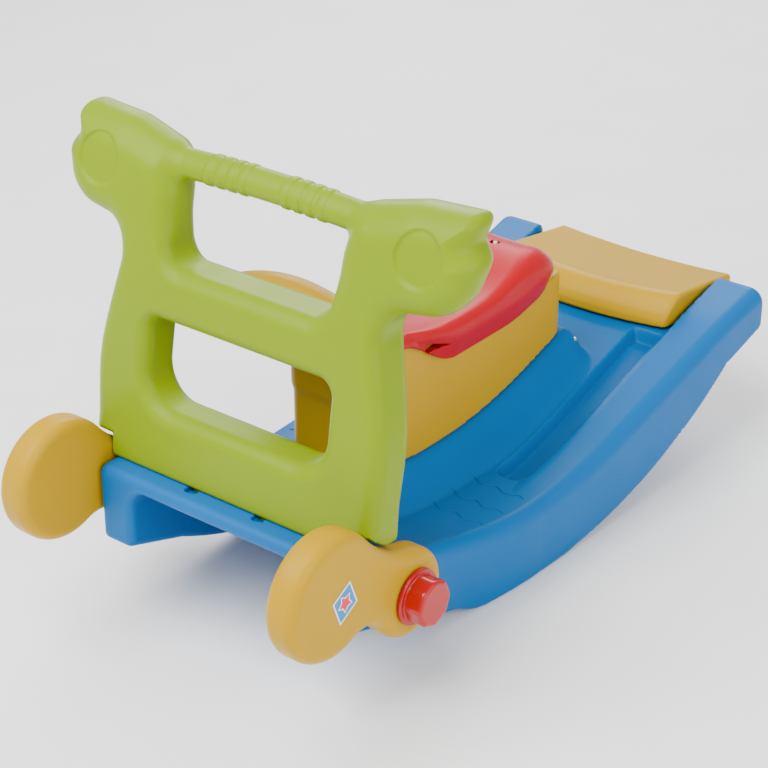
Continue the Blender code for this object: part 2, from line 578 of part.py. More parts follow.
def make_pivot(side, word):
    """Bolt through the runner, with its washer, the arm's bush and the knob's insert."""
    inner_wall = side_half(PIVOT_X) - RUNNER_THICK
    steel = material("zinc_steel", STEEL, 0.3, 1.0)
    washer_face = inner_wall - GAP
    centre = (PIVOT_X, 0.0, PIVOT_Z)
    wall, washer_back = BOLT_RADIUS + GAP, washer_face - WASHER_THICK
    turned("pivot_washer_" + word, [(wall, washer_back), (WASHER_RADIUS, washer_back),
                                    (WASHER_RADIUS, washer_face), (wall, washer_face)],
           20, steel, centre, side)
    under_head = washer_face - WASHER_THICK - GAP
    tip = ARM_INNER_Y + ARM_THICK + GAP + INSERT_LENGTH
    bolt = rod("pivot_bolt_" + word, BOLT_RADIUS, (PIVOT_X, side * (under_head - 0.002), PIVOT_Z),
               (PIVOT_X, side * tip, PIVOT_Z), steel)
    head = rod("head", BOLT_HEAD_RADIUS, (PIVOT_X, side * (under_head - BOLT_HEAD_THICK), PIVOT_Z),
               (PIVOT_X, side * under_head, PIVOT_Z), steel, 6)
    combine(bolt, head, "UNION")
    turned("arm_bush_" + word, [(wall, ARM_INNER_Y + GAP), (BUSH_RADIUS, ARM_INNER_Y + GAP),
                                (BUSH_RADIUS, ARM_INNER_Y + ARM_THICK), (wall, ARM_INNER_Y + ARM_THICK)],
           BORE_SIDES, material("nylon", NYLON, 0.5), centre, side)
    start = ARM_INNER_Y + ARM_THICK + GAP * 2
    turned("knob_insert_" + word, [(wall, start), (INSERT_RADIUS, start),
                                   (INSERT_RADIUS, start + INSERT_LENGTH), (wall, start + INSERT_LENGTH)],
           BORE_SIDES, material("brass", BRASS, 0.3, 1.0), centre, side)


def make_label(side, word):
    face = side * (ARM_INNER_Y + ARM_THICK + GAP)
    return rod("label_" + word, LABEL_RADIUS, (LABEL_X, face, LABEL_Z),
               (LABEL_X, face + side * LABEL_THICK, LABEL_Z), material("label_film", PAPER, 0.3), 32)


# ---------------------------------------------------------------- seat
PEDESTAL_SCREWS = [(x, y) for x in (-0.10, 0.12) for y in (-0.030, 0.030)]
PLATE_SCREWS = [(x, y) for x in (0.36, 0.43) for y in (-0.070, 0.070)]
RIDGE_SCREWS = [(0.236, -0.062), (0.236, 0.062)]
SADDLE_SCREWS = [(-0.06, 0.0), (0.14, 0.0)]


def saddle_top(x):
    """Height of the saddle along its middle: a dip with a raised rear rim."""
    dip = SADDLE_DIP_Z + SADDLE_DIP_CURVE * (x - SADDLE_DIP_X) ** 2
    rim = SADDLE_RIM_Z - SADDLE_RIM_CURVE * max(0.0, x - SADDLE_RIM_X) ** 2
    return min(dip + SADDLE_SWELL * smoothstep(0.04, 0.16, x), rim) if x > 0.0 else dip


def saddle_skirt(x):
    """Lower edge of the saddle's skirt."""
    front, rear = smoothstep(-0.02, -0.13, x), smoothstep(0.08, 0.22, x)
    return SKIRT_Z + SKIRT_FRONT_RISE * front + SKIRT_REAR_RISE * rear


def saddle_half(x):
    along = max(0.0, x - SADDLE_NOSE_X) / (SADDLE_END_X - SADDLE_NOSE_X)
    nose = sqrt(max(0.0, 1.0 - along ** 2))
    front = 0.80 + 0.20 * smoothstep(SADDLE_FRONT_X, -0.08, x)
    return SADDLE_HALF * front * max(SADDLE_LEAST, nose)


def pedestal_top(x):
    return min(saddle_top(x) - SADDLE_OVER_PEDESTAL, PEDESTAL_LIMIT_Z)


def pedestal_stations():
    return with_base_stations([PEDESTAL_FRONT_X, PEDESTAL_FRONT_X + PEDESTAL_EDGE, -0.180, -0.14, -0.10,
                               -0.05, 0.0, 0.05, 0.10, 0.15, PEDESTAL_FALL_X, 0.216, 0.229,
                               PEDESTAL_END_X])


def pedestal_size(x):
    """Half width and top of the pedestal at x; both ends are rounded off."""
    tip = min(x - PEDESTAL_FRONT_X, PEDESTAL_END_X - x)
    half = PEDESTAL_HALF - PEDESTAL_TIP * (1.0 - min(1.0, tip / PEDESTAL_TIP_LENGTH)) ** 2
    return half, pedestal_top(x) - PEDESTAL_FALL * smoothstep(PEDESTAL_FALL_X, PEDESTAL_END_X, x)


def make_pedestal():
    look = material("yellow_plastic", YELLOW)
    rings = []
    for x in pedestal_stations():
        half, top = pedestal_size(x)
        foot = between_stations(ridge_height, x) + GAP
        shoulder, crown = top - PEDESTAL_EDGE, half - PEDESTAL_EDGE
        rings.append([(x, -half, foot), (x, half, foot), (x, half, shoulder), (x, crown, top),
                      (x, -crown, top), (x, -half, shoulder)])
    pedestal = loft("seat_pedestal", rings, look)
    rings = []
    root_half, root_x = PEDESTAL_HALF - POMMEL_NARROW, PEDESTAL_FRONT_X + POMMEL_INSET
    for k in range(POMMEL_RINGS + 1):
        z = POMMEL_ROOT_Z + (POMMEL_Z - POMMEL_ROOT_Z) * sin(pi / 2 * k / POMMEL_RINGS)
        spread = smoothstep(POMMEL_SPREAD_Z, POMMEL_FULL_Z, z)
        crown = max(0.0, z - POMMEL_CROWN_Z) / (POMMEL_Z - POMMEL_CROWN_Z + 0.0005)
        top = sqrt(1.0 - crown ** 2)
        half = (root_half + (POMMEL_HALF - root_half) * spread) * max(top, 0.16)
        x = root_x + (POMMEL_X - root_x) * spread
        deep = POMMEL_DEEP * max(top, 0.45)
        rings.append([(x + deep * sx, half * sy, z) for sx, sy in
                      ((-0.55, -1.0), (-1.0, -0.78), (-1.0, 0.0), (-1.0, 0.78), (-0.55, 1.0),
                       (0.55, 1.0), (1.0, 0.78), (1.0, 0.0), (1.0, -0.78), (0.55, -1.0))])
    combine(pedestal, loft("pommel", rings, look), "UNION")
    for x, y in PEDESTAL_SCREWS:
        drill(pedestal, SCREW_RADIUS + GAP, x, y, FLOOR_HOLE_LOW_Z, ridge_height(x) + PEDESTAL_HOLE_REACH)
    for x, y in SADDLE_SCREWS:
        drill(pedestal, SCREW_RADIUS + GAP, x, y, SADDLE_HOLE_LOW_Z, SADDLE_HOLE_HIGH_Z)
    return pedestal


def make_saddle():
    stations = [SADDLE_FRONT_X, -0.150, -0.13, -0.10, -0.06, -0.02, 0.02, 0.06, 0.10, 0.13, 0.16, 0.18, 0.20,
                0.213, 0.223, 0.230, 0.234, SADDLE_END_X]
    rings = []
    for x in stations:
        half, top, low = saddle_half(x), saddle_top(x), saddle_skirt(x)
        end = smoothstep(0.225, SADDLE_END_X, x)
        top -= 0.010 * (1.0 - smoothstep(SADDLE_FRONT_X, -0.145, x))
        low += (top - SADDLE_OVER_PEDESTAL - low) * end * 0.5
        waist = PEDESTAL_HALF + SADDLE_WAIST if x < 0.2 else half * 0.9
        waist = min(waist, half - 0.002)
        middle = (top + low) / 2.0
        profile = [(waist, low), (half * 0.96, middle - 0.006), (half, middle + 0.012),
                   (half * 0.93, top - 0.004), (half * 0.78, top + 0.003), (half * 0.4, top - 0.002)]
        rings.append([(x, y, z) for y, z in profile] + [(x, -y, z) for y, z in reversed(profile)])
    saddle = loft("seat_saddle", rings, material("red_plastic", RED, 0.25))
    rings = []
    for x in pedestal_stations():
        half, top = pedestal_size(x)
        half, top = half + SADDLE_POCKET_GAP, top + SADDLE_POCKET_GAP
        along = x + SADDLE_POCKET_GAP if x == PEDESTAL_END_X else x
        rings.append([(along, -half, 0.16), (along, half, 0.16), (along, half, top), (along, -half, top)])
    combine(saddle, loft("pocket", rings, None))
    for x, y in SADDLE_SCREWS:
        sink = saddle_top(x) - SADDLE_SCREW_SINK
        drill(saddle, SCREW_HEAD_RADIUS + GAP, x, y, sink, SADDLE_SINK_HIGH_Z, SINK_SIDES)
        drill(saddle, SCREW_RADIUS + GAP, x, y, SADDLE_HOLE_LOW_Z, SADDLE_SINK_HIGH_Z)
    return saddle


# ---------------------------------------------------------------- end plate
def plate_top(x):
    t = (x - PLATE_LIP_X) / (PLATE_END_X - PLATE_LIP_X)
    return PLATE_LIP_Z + (PLATE_END_Z - PLATE_LIP_Z) * t


def make_plate():
    stations = with_base_stations([PLATE_LIP_X, PLATE_LIP_X + 0.004, PLATE_LIP_X + 0.012,
                                   PLATE_LIP_X + 0.024, PLATE_LIP_X + PLATE_NOSE, 0.39, 0.43,
                                   BASE_END_X + 0.001, BASE_END_X + 0.003, 0.50, PLATE_END_X])
    rings = []
    for x in stations:
        nose = 1.0 - min(1.0, (x - PLATE_LIP_X) / PLATE_NOSE)
        top = plate_top(x) - PLATE_NOSE_DROP * nose ** 2.4
        low = between_stations(strip_height, min(x, BASE_END_X)) + GAP
        low += PLATE_LIP_RISE * nose ** 2
        if x > BASE_END_X + 0.002:
            low = top - PLATE_OVERHANG_THICK
        half = PLATE_HALF - PLATE_NOSE_NARROW * nose ** 3
        dish = PLATE_DISH * (1.0 - nose)
        inner, shoulder = half * PLATE_SHOULDER, top - dish * (1.0 - PLATE_SHOULDER ** 2)
        edge, rim = half - PLATE_EDGE, top - PLATE_EDGE
        rings.append([(x, -half, low), (x, half, low), (x, half, rim), (x, edge, top), (x, inner, shoulder),
                      (x, 0.0, top - dish), (x, -inner, shoulder), (x, -edge, top), (x, -half, rim)])
    plate = loft("end_plate", rings, material("yellow_plastic", YELLOW))
    for x, y in PLATE_SCREWS:
        drill(plate, SCREW_RADIUS + GAP, x, y, 0.10, strip_height(x) + PLATE_HOLE_REACH)
    return plate


# ---------------------------------------------------------------- screws
def make_screw(name, x, y, z, length, sense):
    """Pan-head screw; z is under the head and sense says which way the head looks."""
    head = [(0.0, sense * SCREW_HEAD_THICK), (SCREW_HEAD_RADIUS * 0.6, sense * SCREW_HEAD_THICK),
            (SCREW_HEAD_RADIUS, 0.0), (SCREW_RADIUS, 0.0), (SCREW_RADIUS, -sense * (length - 0.002)),
            (0.0, -sense * length)]

    def build(bm):
        rings = []
        for radius, along in head:
            count = SCREW_SIDES if radius else 1
            turns = [2 * pi * k / SCREW_SIDES for k in range(count)]
            rings.append([bm.verts.new((x + radius * cos(turn), y + radius * sin(turn), z + along))
                          for turn in turns])
        for low, high in zip(rings, rings[1:]):
            for k in range(SCREW_SIDES):
                j = (k + 1) % SCREW_SIDES
                corners = [low[k % len(low)], low[j % len(low)], high[j % len(high)], high[k % len(high)]]
                bm.faces.new(list(dict.fromkeys(corners)))
    return solid(name, build, material("zinc_steel", STEEL, 0.3, 1.0))


def floor_under(x):
    """Underside of the deck between the runners."""
    return base_section(x)[-1][1]


# ---------------------------------------------------------------- assembly
def main():
    for thing in list(bpy.data.objects):
        bpy.data.objects.remove(thing)
    make_base()
    make_plate()
    make_pedestal()
    make_saddle()
    make_frame()
    for side, word in ((1, "left"), (-1, "right")):
        make_arm(side, word)
        make_knob(side, word)
        make_pivot(side, word)
        make_label(side, word)
    for i, (x, y) in enumerate(PEDESTAL_SCREWS, 1):
        seat = between_stations(floor_under, x) - PEDESTAL_SCREW_SEAT
        make_screw(f"pedestal_screw_{i}", x, y, seat, ridge_height(x) + PEDESTAL_SCREW_REACH - seat, -1)
    for i, (x, y) in enumerate(PLATE_SCREWS, 1):
        seat = between_stations(floor_under, x) - PLATE_SCREW_SEAT
        make_screw(f"end_plate_screw_{i}", x, y, seat, strip_height(x) + PLATE_SCREW_REACH - seat, -1)
    for i, (x, y) in enumerate(SADDLE_SCREWS, 1):
        seat = saddle_top(x) - SADDLE_SCREW_SINK + GAP
        make_screw(f"saddle_screw_{i}", x, y, seat, SADDLE_SCREW_LENGTH, 1)
    for i, (x, y) in enumerate(RIDGE_SCREWS, 1):
        seat = ridge_flank_height(x, abs(y)) - RIDGE_SCREW_SINK
        make_screw(f"ridge_screw_{i}", x, y, seat, RIDGE_SCREW_LENGTH, 1)


main()
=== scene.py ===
"""Looks of the toddler rocker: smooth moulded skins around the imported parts, and their plastics.

Each moulding is described by a field, a number that is negative inside it and zero on its surface.
skin() lays an even quad mesh on that surface, so edges and fillets come out as round as on a real moulding.
"""
from math import cos, pi, radians, sin, sqrt, tan

import bpy
import numpy as np
from mathutils import Matrix, Vector


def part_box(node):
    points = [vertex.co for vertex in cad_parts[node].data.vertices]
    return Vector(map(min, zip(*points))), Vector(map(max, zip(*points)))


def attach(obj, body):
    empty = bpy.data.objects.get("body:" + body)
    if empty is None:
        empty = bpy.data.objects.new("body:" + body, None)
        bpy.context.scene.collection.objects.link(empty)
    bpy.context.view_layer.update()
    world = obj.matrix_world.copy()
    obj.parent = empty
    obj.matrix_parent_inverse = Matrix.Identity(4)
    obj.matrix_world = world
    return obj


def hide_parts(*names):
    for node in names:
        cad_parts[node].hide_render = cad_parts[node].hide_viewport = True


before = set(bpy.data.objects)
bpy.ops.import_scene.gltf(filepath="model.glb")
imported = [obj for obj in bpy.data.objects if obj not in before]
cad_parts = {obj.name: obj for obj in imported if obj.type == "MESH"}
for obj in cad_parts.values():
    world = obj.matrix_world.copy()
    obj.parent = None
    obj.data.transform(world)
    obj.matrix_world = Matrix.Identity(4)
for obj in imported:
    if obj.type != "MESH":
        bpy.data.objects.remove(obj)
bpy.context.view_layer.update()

SIDES = {"left": 1.0, "right": -1.0}
GAP = 0.0004                                   # air between touching mouldings

# ---------------------------------------------------------------- sizes, in metres
BASE_LOW, BASE_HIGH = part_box("rocker_base")
PLATFORM_Z = 0.194
PLATFORM_END_X, DECK_START_X = -0.296, -0.262
DECK_RADIUS, DECK_LOW_X, DECK_LOW_Z, DECK_SLOPE = 0.64, -0.037, 0.0985, 0.30
RUNNER_RADIUS, RUNNER_MID_X, RUNNER_THICK, RUNNER_EDGE = 0.68, -0.012, 0.050, 0.005
REST_LOW_X, REST_HIGH_X, REST_RAMP = -0.115, 0.005, 0.06
NOSE_X, NOSE_Z, NOSE_SLOPE = -0.30, 0.0655, 0.33            # stop of the runners ahead of the arms
TAIL_X, TAIL_Z, TAIL_SLOPE = 0.385, 0.1285, 0.31            # stop of the runners under the end plate
SIDE_NARROW, SIDE_MIDDLE, SIDE_WIDE = 0.1752, 0.1925, 0.2125
SIDE_FLARE_X, SIDE_MIDDLE_X, SIDE_FULL_X = -0.205, -0.02, 0.46
FLOOR_THICK, FLOOR_LEAST, PLATFORM_THICK = 0.034, 0.012, 0.020
UNDER_FROM_X, UNDER_TO_X, UNDER_FILLET, RUNNER_IN_EDGE = -0.372, -0.335, 0.022, 0.010
END_RADIUS, END_DROP, END_DROP_X, END_EDGE = 0.016, 0.007, 0.36, 0.007
SIDE_EDGE, SIDE_EDGE_GAIN, SIDE_EDGE_FROM_X, SIDE_EDGE_TO_X, FRONT_EDGE = 0.011, 0.007, -0.33, -0.25, 0.011
STRIP_DROP, STRIP_FROM_X, STRIP_TO_X, POCKET_X, POCKET_SLOPE = 0.006, -0.04, 0.05, 0.31, 0.117
CURB_Y, CURB_STEP, CURB_STEP_FROM_X, CURB_SOFT, CURB_SOFTER = 0.138, 0.006, 0.26, 0.0025, 0.011
GROOVE_Y, GROOVE_HALF, GROOVE_START_X, GROOVE_END_X, GROOVE_DEPTH = 0.1175, 0.0205, 0.008, 0.335, 0.017
GROOVE_WALL_IN, GROOVE_WALL_OUT, GROOVE_RAMP = 0.007, 0.003, 0.01
RIDGE_HEIGHT, RIDGE_HALF, RIDGE_FLANK, RIDGE_END_X, RIDGE_RAMP = 0.052, 0.050, 0.042, 0.226, 0.02
WAVES_X, WAVE_Y, WAVE_LENGTH, WAVE_SKEW, WAVE_HEIGHT = (-0.022, -0.065, -0.106), 0.080, 0.088, 0.004, 0.0035
WAVE_BENDS, WAVE_STEPS, WAVE_RADIUS = 5.0, 40, 0.0016

FOOT_X, FRAME_LEAN, FRAME_BOW, FRAME_HEIGHT = -0.372, radians(9.8), 0.008, 0.39
FRAME_THICK, FRAME_TAPER = 0.055, 0.042
FOOT_EDGE, BAR_EDGE, HEAD_EDGE = 0.004, 0.018, 0.033
BAR_EDGE_HEIGHT, HEAD_FROM_HEIGHT, HEAD_TO_HEIGHT = 0.05, 0.24, 0.30
FOOT_HALF, ARM_CLEARANCE = 0.1762, 0.0035
HANDLE_Z, HANDLE_RADIUS, HANDLE_ARCH, HANDLE_HALF, HANDLE_FILLET = 0.3462, 0.0155, 0.004, 0.150, 0.010
RING_FIRST_Y, RING_PITCH, RINGS, RING_RISE, RING_FOOT, RING_TOP = 0.0300, 0.0165, 4, 0.0013, 0.0062, 0.0036
EYE_Y, EYE_Z, EYE_RADIUS, EYE_DEPTH, EYE_WALL_OUT, EYE_WALL_IN = 0.2241, 0.3388, 0.030, 0.0035, 0.0015, 0.0035
TAB_Y, TAB_WIDTH, TAB_THICK, TAB_LENGTH, TAB_INSET = 0.050, 0.024, 0.009, 0.014, 0.012
TAB_BURIED, TAB_CLEARANCE, TAB_EDGE = 0.02, 0.0008, 0.001
NOTCH_X, NOTCH_HALF, NOTCH_REACH, NOTCH_DEPTH = FOOT_X + 0.0035, 0.0075, 0.0095, 0.007

PIVOT_X, PIVOT_Z = -0.308, 0.128
LOBE_X, LOBE_Z, LOBE_RADIUS, BOSS_RADIUS = -0.440, 0.189, 0.0735, 0.053
NECK_TOP_RADIUS, NECK_LOW_RADIUS = 0.15, 0.045
ARM_INNER_Y, ARM_THICK, ARM_EDGE = 0.1770, 0.041, 0.013
LABEL_DROP, LABEL_TURN, LABEL_THICK = 0.005, radians(-20), 0.0004
LABEL_LAYERS = (("disc", (0.0215, 0.0250), 4), ("field", (0.0190, 0.0221), 4),
                ("rim", (0.0125, 0.0072), 10), ("star", (0.0105, 0.0056), 10))    # name, radii, corners
KNOB_FLANGE_RADIUS, KNOB_FLANGE_THICK, KNOB_RADIUS, KNOB_LENGTH = 0.0335, 0.006, 0.029, 0.029
KNOB_FLANGE_EDGE, KNOB_FACET_EDGE, KNOB_END_EDGE, KNOB_FILLET = 0.0022, 0.0035, 0.0045, 0.0015
KNOB_FACET_PAIRS = 4
BOLT_BORE, BUSH_BORE, INSERT_BORE, INSERT_BORE_DEPTH, BORE_FROM_Y = 0.0046, 0.0069, 0.0074, 0.021, 0.09

PEDESTAL_HALF, PEDESTAL_FRONT_X, PEDESTAL_END_X, PEDESTAL_CORNER = 0.050, -0.204, 0.235, 0.017
PEDESTAL_LIMIT_Z, PEDESTAL_UNDER_SADDLE, PEDESTAL_TOP_EDGE = 0.300, 0.012, 0.004
PEDESTAL_CORNER_GAIN, SHELF_FROM_X, SHELF_TO_X, SHELF_OVER_SKIRT = 0.013, 0.145, 0.180, 0.0005
SUNK = 0.0015                    # how far a fixed piece's underside reaches into what carries it
POMMEL_X, POMMEL_Z, POMMEL_HALF, POMMEL_ARCH = -0.246, 0.424, 0.102, 0.21
POMMEL_INSET, POMMEL_NARROW, POMMEL_DEEP, POMMEL_EDGE, POMMEL_FILLET = 0.020, 0.003, 0.0185, 0.016, 0.014
POMMEL_LOW_Z, FLARE_FROM_Z, FLARE_TO_Z = 0.262, 0.285, 0.395
SADDLE_FRONT_X, SADDLE_TAIL_X, SADDLE_END_X, SADDLE_HALF = -0.158, 0.145, 0.236, 0.072
SADDLE_WAIST, SADDLE_TUCK_BELOW, SADDLE_TUCK_ABOVE, SADDLE_NARROW = 0.0595, 0.004, 0.040, 0.20
DIP_X, DIP_Z, DIP_CURVE, SWELL = -0.01, 0.311, 0.9, 0.020
SWELL_TAIL_X, SWELL_TAIL_Z, SWELL_TAIL_CURVE, SWELL_BLEND = 0.120, 0.342, 5.0, 0.018
SKIRT_Z, SKIRT_FRONT_RISE, SKIRT_REAR_RISE, SKIRT_EDGE = 0.256, 0.050, 0.022, 0.0025
CROWN_RISE, CROWN_EDGE, CROWN_EDGE_GAIN, SADDLE_FRONT_EDGE, POCKET_GAP = 0.005, 0.014, 0.020, 0.018, 0.0015
SLOT_X, SLOT_TOP, SLOT_LOW, SLOT_FALL, SLOT_RISE = -0.080, 0.2965, 0.2835, 0.33, 0.04
SADDLE_SCREWS_X, SADDLE_SINK_RADIUS, SADDLE_SINK_Z = (-0.06, 0.14), 0.0060, 0.3065

PLATE_LOW, PLATE_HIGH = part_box("end_plate")
PLATE_HALF, PLATE_LIP_Z, PLATE_END_Z, PLATE_SWEEP, PLATE_LIP_RISE = 0.139, 0.224, 0.197, 0.80, 0.006
PLATE_DISH, PLATE_NOSE, PLATE_SHEET = 0.006, 0.040, 0.013
PLATE_NOSE_DROP, PLATE_NOSE_NARROW, PLATE_FREE_FROM, PLATE_FREE_TO = 0.034, 0.004, 0.003, 0.006
PLATE_SIDE_EDGE, PLATE_END_EDGE, PLATE_LOW_EDGE = 0.006, 0.005, 0.0025

MARGIN = (0.006, 0.006, 0.006)                 # room for a skin's net around its packed box
CELLS = {"rocker_base": 0.0042, "handle_frame": 0.0027, "arm_left": 0.0032, "knob_left": 0.0013,
         "seat_pedestal": 0.0033, "seat_saddle": 0.0029, "end_plate": 0.0030}      # size of a net's cells
CAMERA_PLACE, CAMERA_PITCH, CAMERA_HEADING, CAMERA_LENS = (-1.824, -1.371, 1.391), 62.25, -51.74, 97.5


# ---------------------------------------------------------------- joining fields
def ramp(low, high, value):
    """0 below low, 1 above high and a smooth step between; low may be the larger one."""
    t = np.clip((value - low) / (high - low), 0.0, 1.0)
    return t * t * (3.0 - 2.0 * t)


def both(a, b, radius):
    """What lies inside both fields, its edge rounded to this radius."""
    u, v = np.maximum(a + radius, 0.0), np.maximum(b + radius, 0.0)
    return np.minimum(np.maximum(a, b), -radius) + np.sqrt(u * u + v * v)


def either(a, b, radius):
    """What lies inside one field or the other, with a fillet of this radius between them."""
    return -both(-a, -b, radius)


def outline_distance(points, a, b):
    """Distance from (a, b) to a closed outline, negative inside it."""
    nearest = np.full(np.broadcast(a, b).shape, np.inf)
    inside = np.zeros(nearest.shape, bool)
    for (a0, b0), (a1, b1) in zip(points, points[1:] + points[:1]):
        da, db = a1 - a0, b1 - b0
        t = np.clip(((a - a0) * da + (b - b0) * db) / (da * da + db * db), 0.0, 1.0)
        nearest = np.minimum(nearest, (a - a0 - t * da) ** 2 + (b - b0 - t * db) ** 2)
        if db != 0.0:
            inside ^= ((b0 > b) != (b1 > b)) & (a < a0 + (b - b0) * da / db)
    return np.where(inside, -1.0, 1.0) * np.sqrt(nearest)


def rounded_outline(corners, step=0.10):
    """Closed outline through (a, b, radius) corners, each rounded by an arc."""
    outline = []
    for i, (a, b, radius) in enumerate(corners):
        here = Vector((a, b))
        before = (Vector(corners[i - 1][:2]) - here).normalized()
        after = (Vector(corners[(i + 1) % len(corners)][:2]) - here).normalized()
        half = before.angle(after) / 2.0
        turn = pi - 2.0 * half
        centre = here + (before + after).normalized() * (radius / sin(half))
        start = here + before * (radius / tan(half)) - centre
        sense = -1.0 if before.x * after.y - before.y * after.x > 0.0 else 1.0
        pieces = max(2, round(turn / step))
        for k in range(pieces + 1):
            outline.append(tuple(centre + Matrix.Rotation(sense * turn * k / pieces, 2) @ start))
    return outline


def mirrored(corners):
    """Corners of one half, then those of the other half, across the first axis."""
    return corners + [(-a, b, radius) for a, b, radius in reversed(corners)]


# ---------------------------------------------------------------- laying a mesh on a field
CUBE = [(i, j, k) for i in (0, 1) for j in (0, 1) for k in (0, 1)]
CUBE_EDGES = [(p, q) for p in range(8) for q in range(p + 1, 8)
              if sum(abs(a - b) for a, b in zip(CUBE[p], CUBE[q])) == 1]


def slope_of(field, points, value, step=2e-4):
    moved = [field(*(points + step * unit).T) for unit in np.eye(3)]
    return np.stack([(m - value) / step for m in moved], axis=1)


def settle(field, points, reach, rounds=3):
    """Moves points along the field's slope until they lie on its surface."""
    for _ in range(rounds):
        value = field(*points.T)
        slope = slope_of(field, points, value)
        move = slope * (value / np.maximum((slope ** 2).sum(axis=1), 0.05))[:, None]
        length = np.linalg.norm(move, axis=1, keepdims=True)
        points = points - move * np.minimum(1.0, reach / np.maximum(length, 1e-9))
    return points


def relax(points, quads):
    """Moves each point to the mean of the middles of the quads around it."""
    middle = points[quads].mean(axis=1)
    corner = quads.ravel()
    total = [np.bincount(corner, np.repeat(middle[:, i], 4), len(points)) for i in range(3)]
    return np.stack(total, axis=1) / np.bincount(corner, minlength=len(points))[:, None]


def net(field, low, high, cell):
    """Points and quads of a closed net, one point for each grid cell that the surface crosses."""
    low = np.array(low, float)
    count = [int((h - l) / cell) + 2 for l, h in zip(low, high)]
    axes = [low[i] + cell * np.arange(count[i]) for i in range(3)]
    value = np.broadcast_to(field(*np.meshgrid(*axes, indexing="ij", sparse=True)), count)
    inside = value < 0.0
    nx, ny, nz = (c - 1 for c in count)
    filled = sum(inside[i:i + nx, j:j + ny, k:k + nz].astype(np.int8) for i, j, k in CUBE)
    crossed = (filled > 0) & (filled < 8)
    cells = np.argwhere(crossed)
    index = np.full(crossed.shape, -1)
    index[crossed] = np.arange(len(cells))
    at_corner = [value[tuple((cells + corner).T)] for corner in CUBE]
    offset, hits = np.zeros((len(cells), 3)), np.zeros(len(cells))
    for p, q in CUBE_EDGES:
        change = (at_corner[p] < 0.0) != (at_corner[q] < 0.0)
        t = np.where(change, at_corner[p] / np.where(change, at_corner[p] - at_corner[q], 1.0), 0.0)
        where = np.array(CUBE[p]) + t[:, None] * (np.array(CUBE[q]) - np.array(CUBE[p]))
        offset += where * change[:, None]
        hits += change
    points = low + cell * (cells + offset / hits[:, None])
    quads = []
    for axis in range(3):
        u, v = (axis + 1) % 3, (axis + 2) % 3
        near, far = [slice(1, -1)] * 3, [slice(1, -1)] * 3
        near[axis], far[axis] = slice(0, -1), slice(1, None)
        start = np.argwhere(inside[tuple(near)] != inside[tuple(far)]) + 1
        start[:, axis] -= 1
        ring = []
        for du, dv in ((0, 0), (1, 0), (1, 1), (0, 1)):
            cell_at = start.copy()
            cell_at[:, u] -= du
            cell_at[:, v] -= dv
            ring.append(index[tuple(cell_at.T)])
        ring = np.stack(ring, axis=1)
        outward = inside[tuple(start.T)]
        quads.append(np.where(outward[:, None], ring, ring[:, ::-1]))
    return points, np.concatenate(quads)


def skin(name, field, low, high, cell):
    """Closed smooth mesh on the surface of a field, inside the box from low to high."""
    points, quads = net(field, low, high, cell)
    for _ in range(2):
        points = settle(field, relax(points, quads), cell)
    mesh = bpy.data.meshes.new(name)
    mesh.from_pydata(points.tolist(), [], quads.tolist())
    mesh.shade_smooth()
    slope = slope_of(field, points, field(*points.T))
    normals = slope / np.linalg.norm(slope, axis=1, keepdims=True)
    mesh.normals_split_custom_set_from_vertices(normals.tolist())
    made = bpy.data.objects.new(name, mesh)
    bpy.context.scene.collection.objects.link(made)
    return made


def skin_of(node, field, low, high, below=MARGIN, above=MARGIN):
    """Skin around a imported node, whose box from low to high is widened by these margins."""
    low = [edge - margin for edge, margin in zip(low, below)]
    high = [edge + margin for edge, margin in zip(high, above)]
    return skin(node + "_skin", field, low, high, CELLS[node])


# ---------------------------------------------------------------- materials
def noise(nodes, links, scale, detail=3.0, roughness=0.5):
    where = nodes.new("ShaderNodeTexCoord")
    texture = nodes.new("ShaderNodeTexNoise")
    texture.inputs["Scale"].default_value = scale
    texture.inputs["Detail"].default_value = detail
    texture.inputs["Roughness"].default_value = roughness
    links.new(where.outputs["Object"], texture.inputs["Vector"])
    return texture.outputs["Fac"]


def spread(nodes, links, source, low, high):
    """A value that runs from low to high as source runs over its usual middle part."""
    mapped = nodes.new("ShaderNodeMapRange")
    mapped.inputs["From Min"].default_value = 0.3
    mapped.inputs["From Max"].default_value = 0.7
    mapped.inputs["To Min"].default_value = low
    mapped.inputs["To Max"].default_value = high
    links.new(source, mapped.inputs["Value"])
    return mapped.outputs["Result"]


def moulded_plastic(name, colour, roughness=0.36, grain=0.05, subsurface=0.0, sheen=0.12):
    """Satin plastic: a faint cloudiness in the pigment, uneven gloss and a fine orange-peel skin."""
    made = bpy.data.materials.new(name)
    made.use_nodes = True
    nodes, links = made.node_tree.nodes, made.node_tree.links
    shader = nodes["Principled BSDF"]
    cloud = nodes.new("ShaderNodeMix")
    cloud.data_type = "RGBA"
    cloud.inputs["A"].default_value = (*(c * 0.94 for c in colour), 1.0)
    cloud.inputs["B"].default_value = (*(min(1.0, c * 1.05) for c in colour), 1.0)
    links.new(noise(nodes, links, 7.0), cloud.inputs["Factor"])
    links.new(cloud.outputs["Result"], shader.inputs["Base Color"])
    gloss = spread(nodes, links, noise(nodes, links, 24.0), roughness - 0.04, roughness + 0.05)
    links.new(gloss, shader.inputs["Roughness"])
    bump = nodes.new("ShaderNodeBump")
    bump.inputs["Strength"].default_value = grain
    bump.inputs["Distance"].default_value = 0.0004
    links.new(noise(nodes, links, 700.0, detail=2.0), bump.inputs["Height"])
    links.new(bump.outputs["Normal"], shader.inputs["Normal"])
    shader.inputs["IOR"].default_value = 1.49
    shader.inputs["Specular IOR Level"].default_value = sheen
    shader.inputs["Subsurface Weight"].default_value = subsurface
    shader.inputs["Subsurface Scale"].default_value = 0.01
    return made


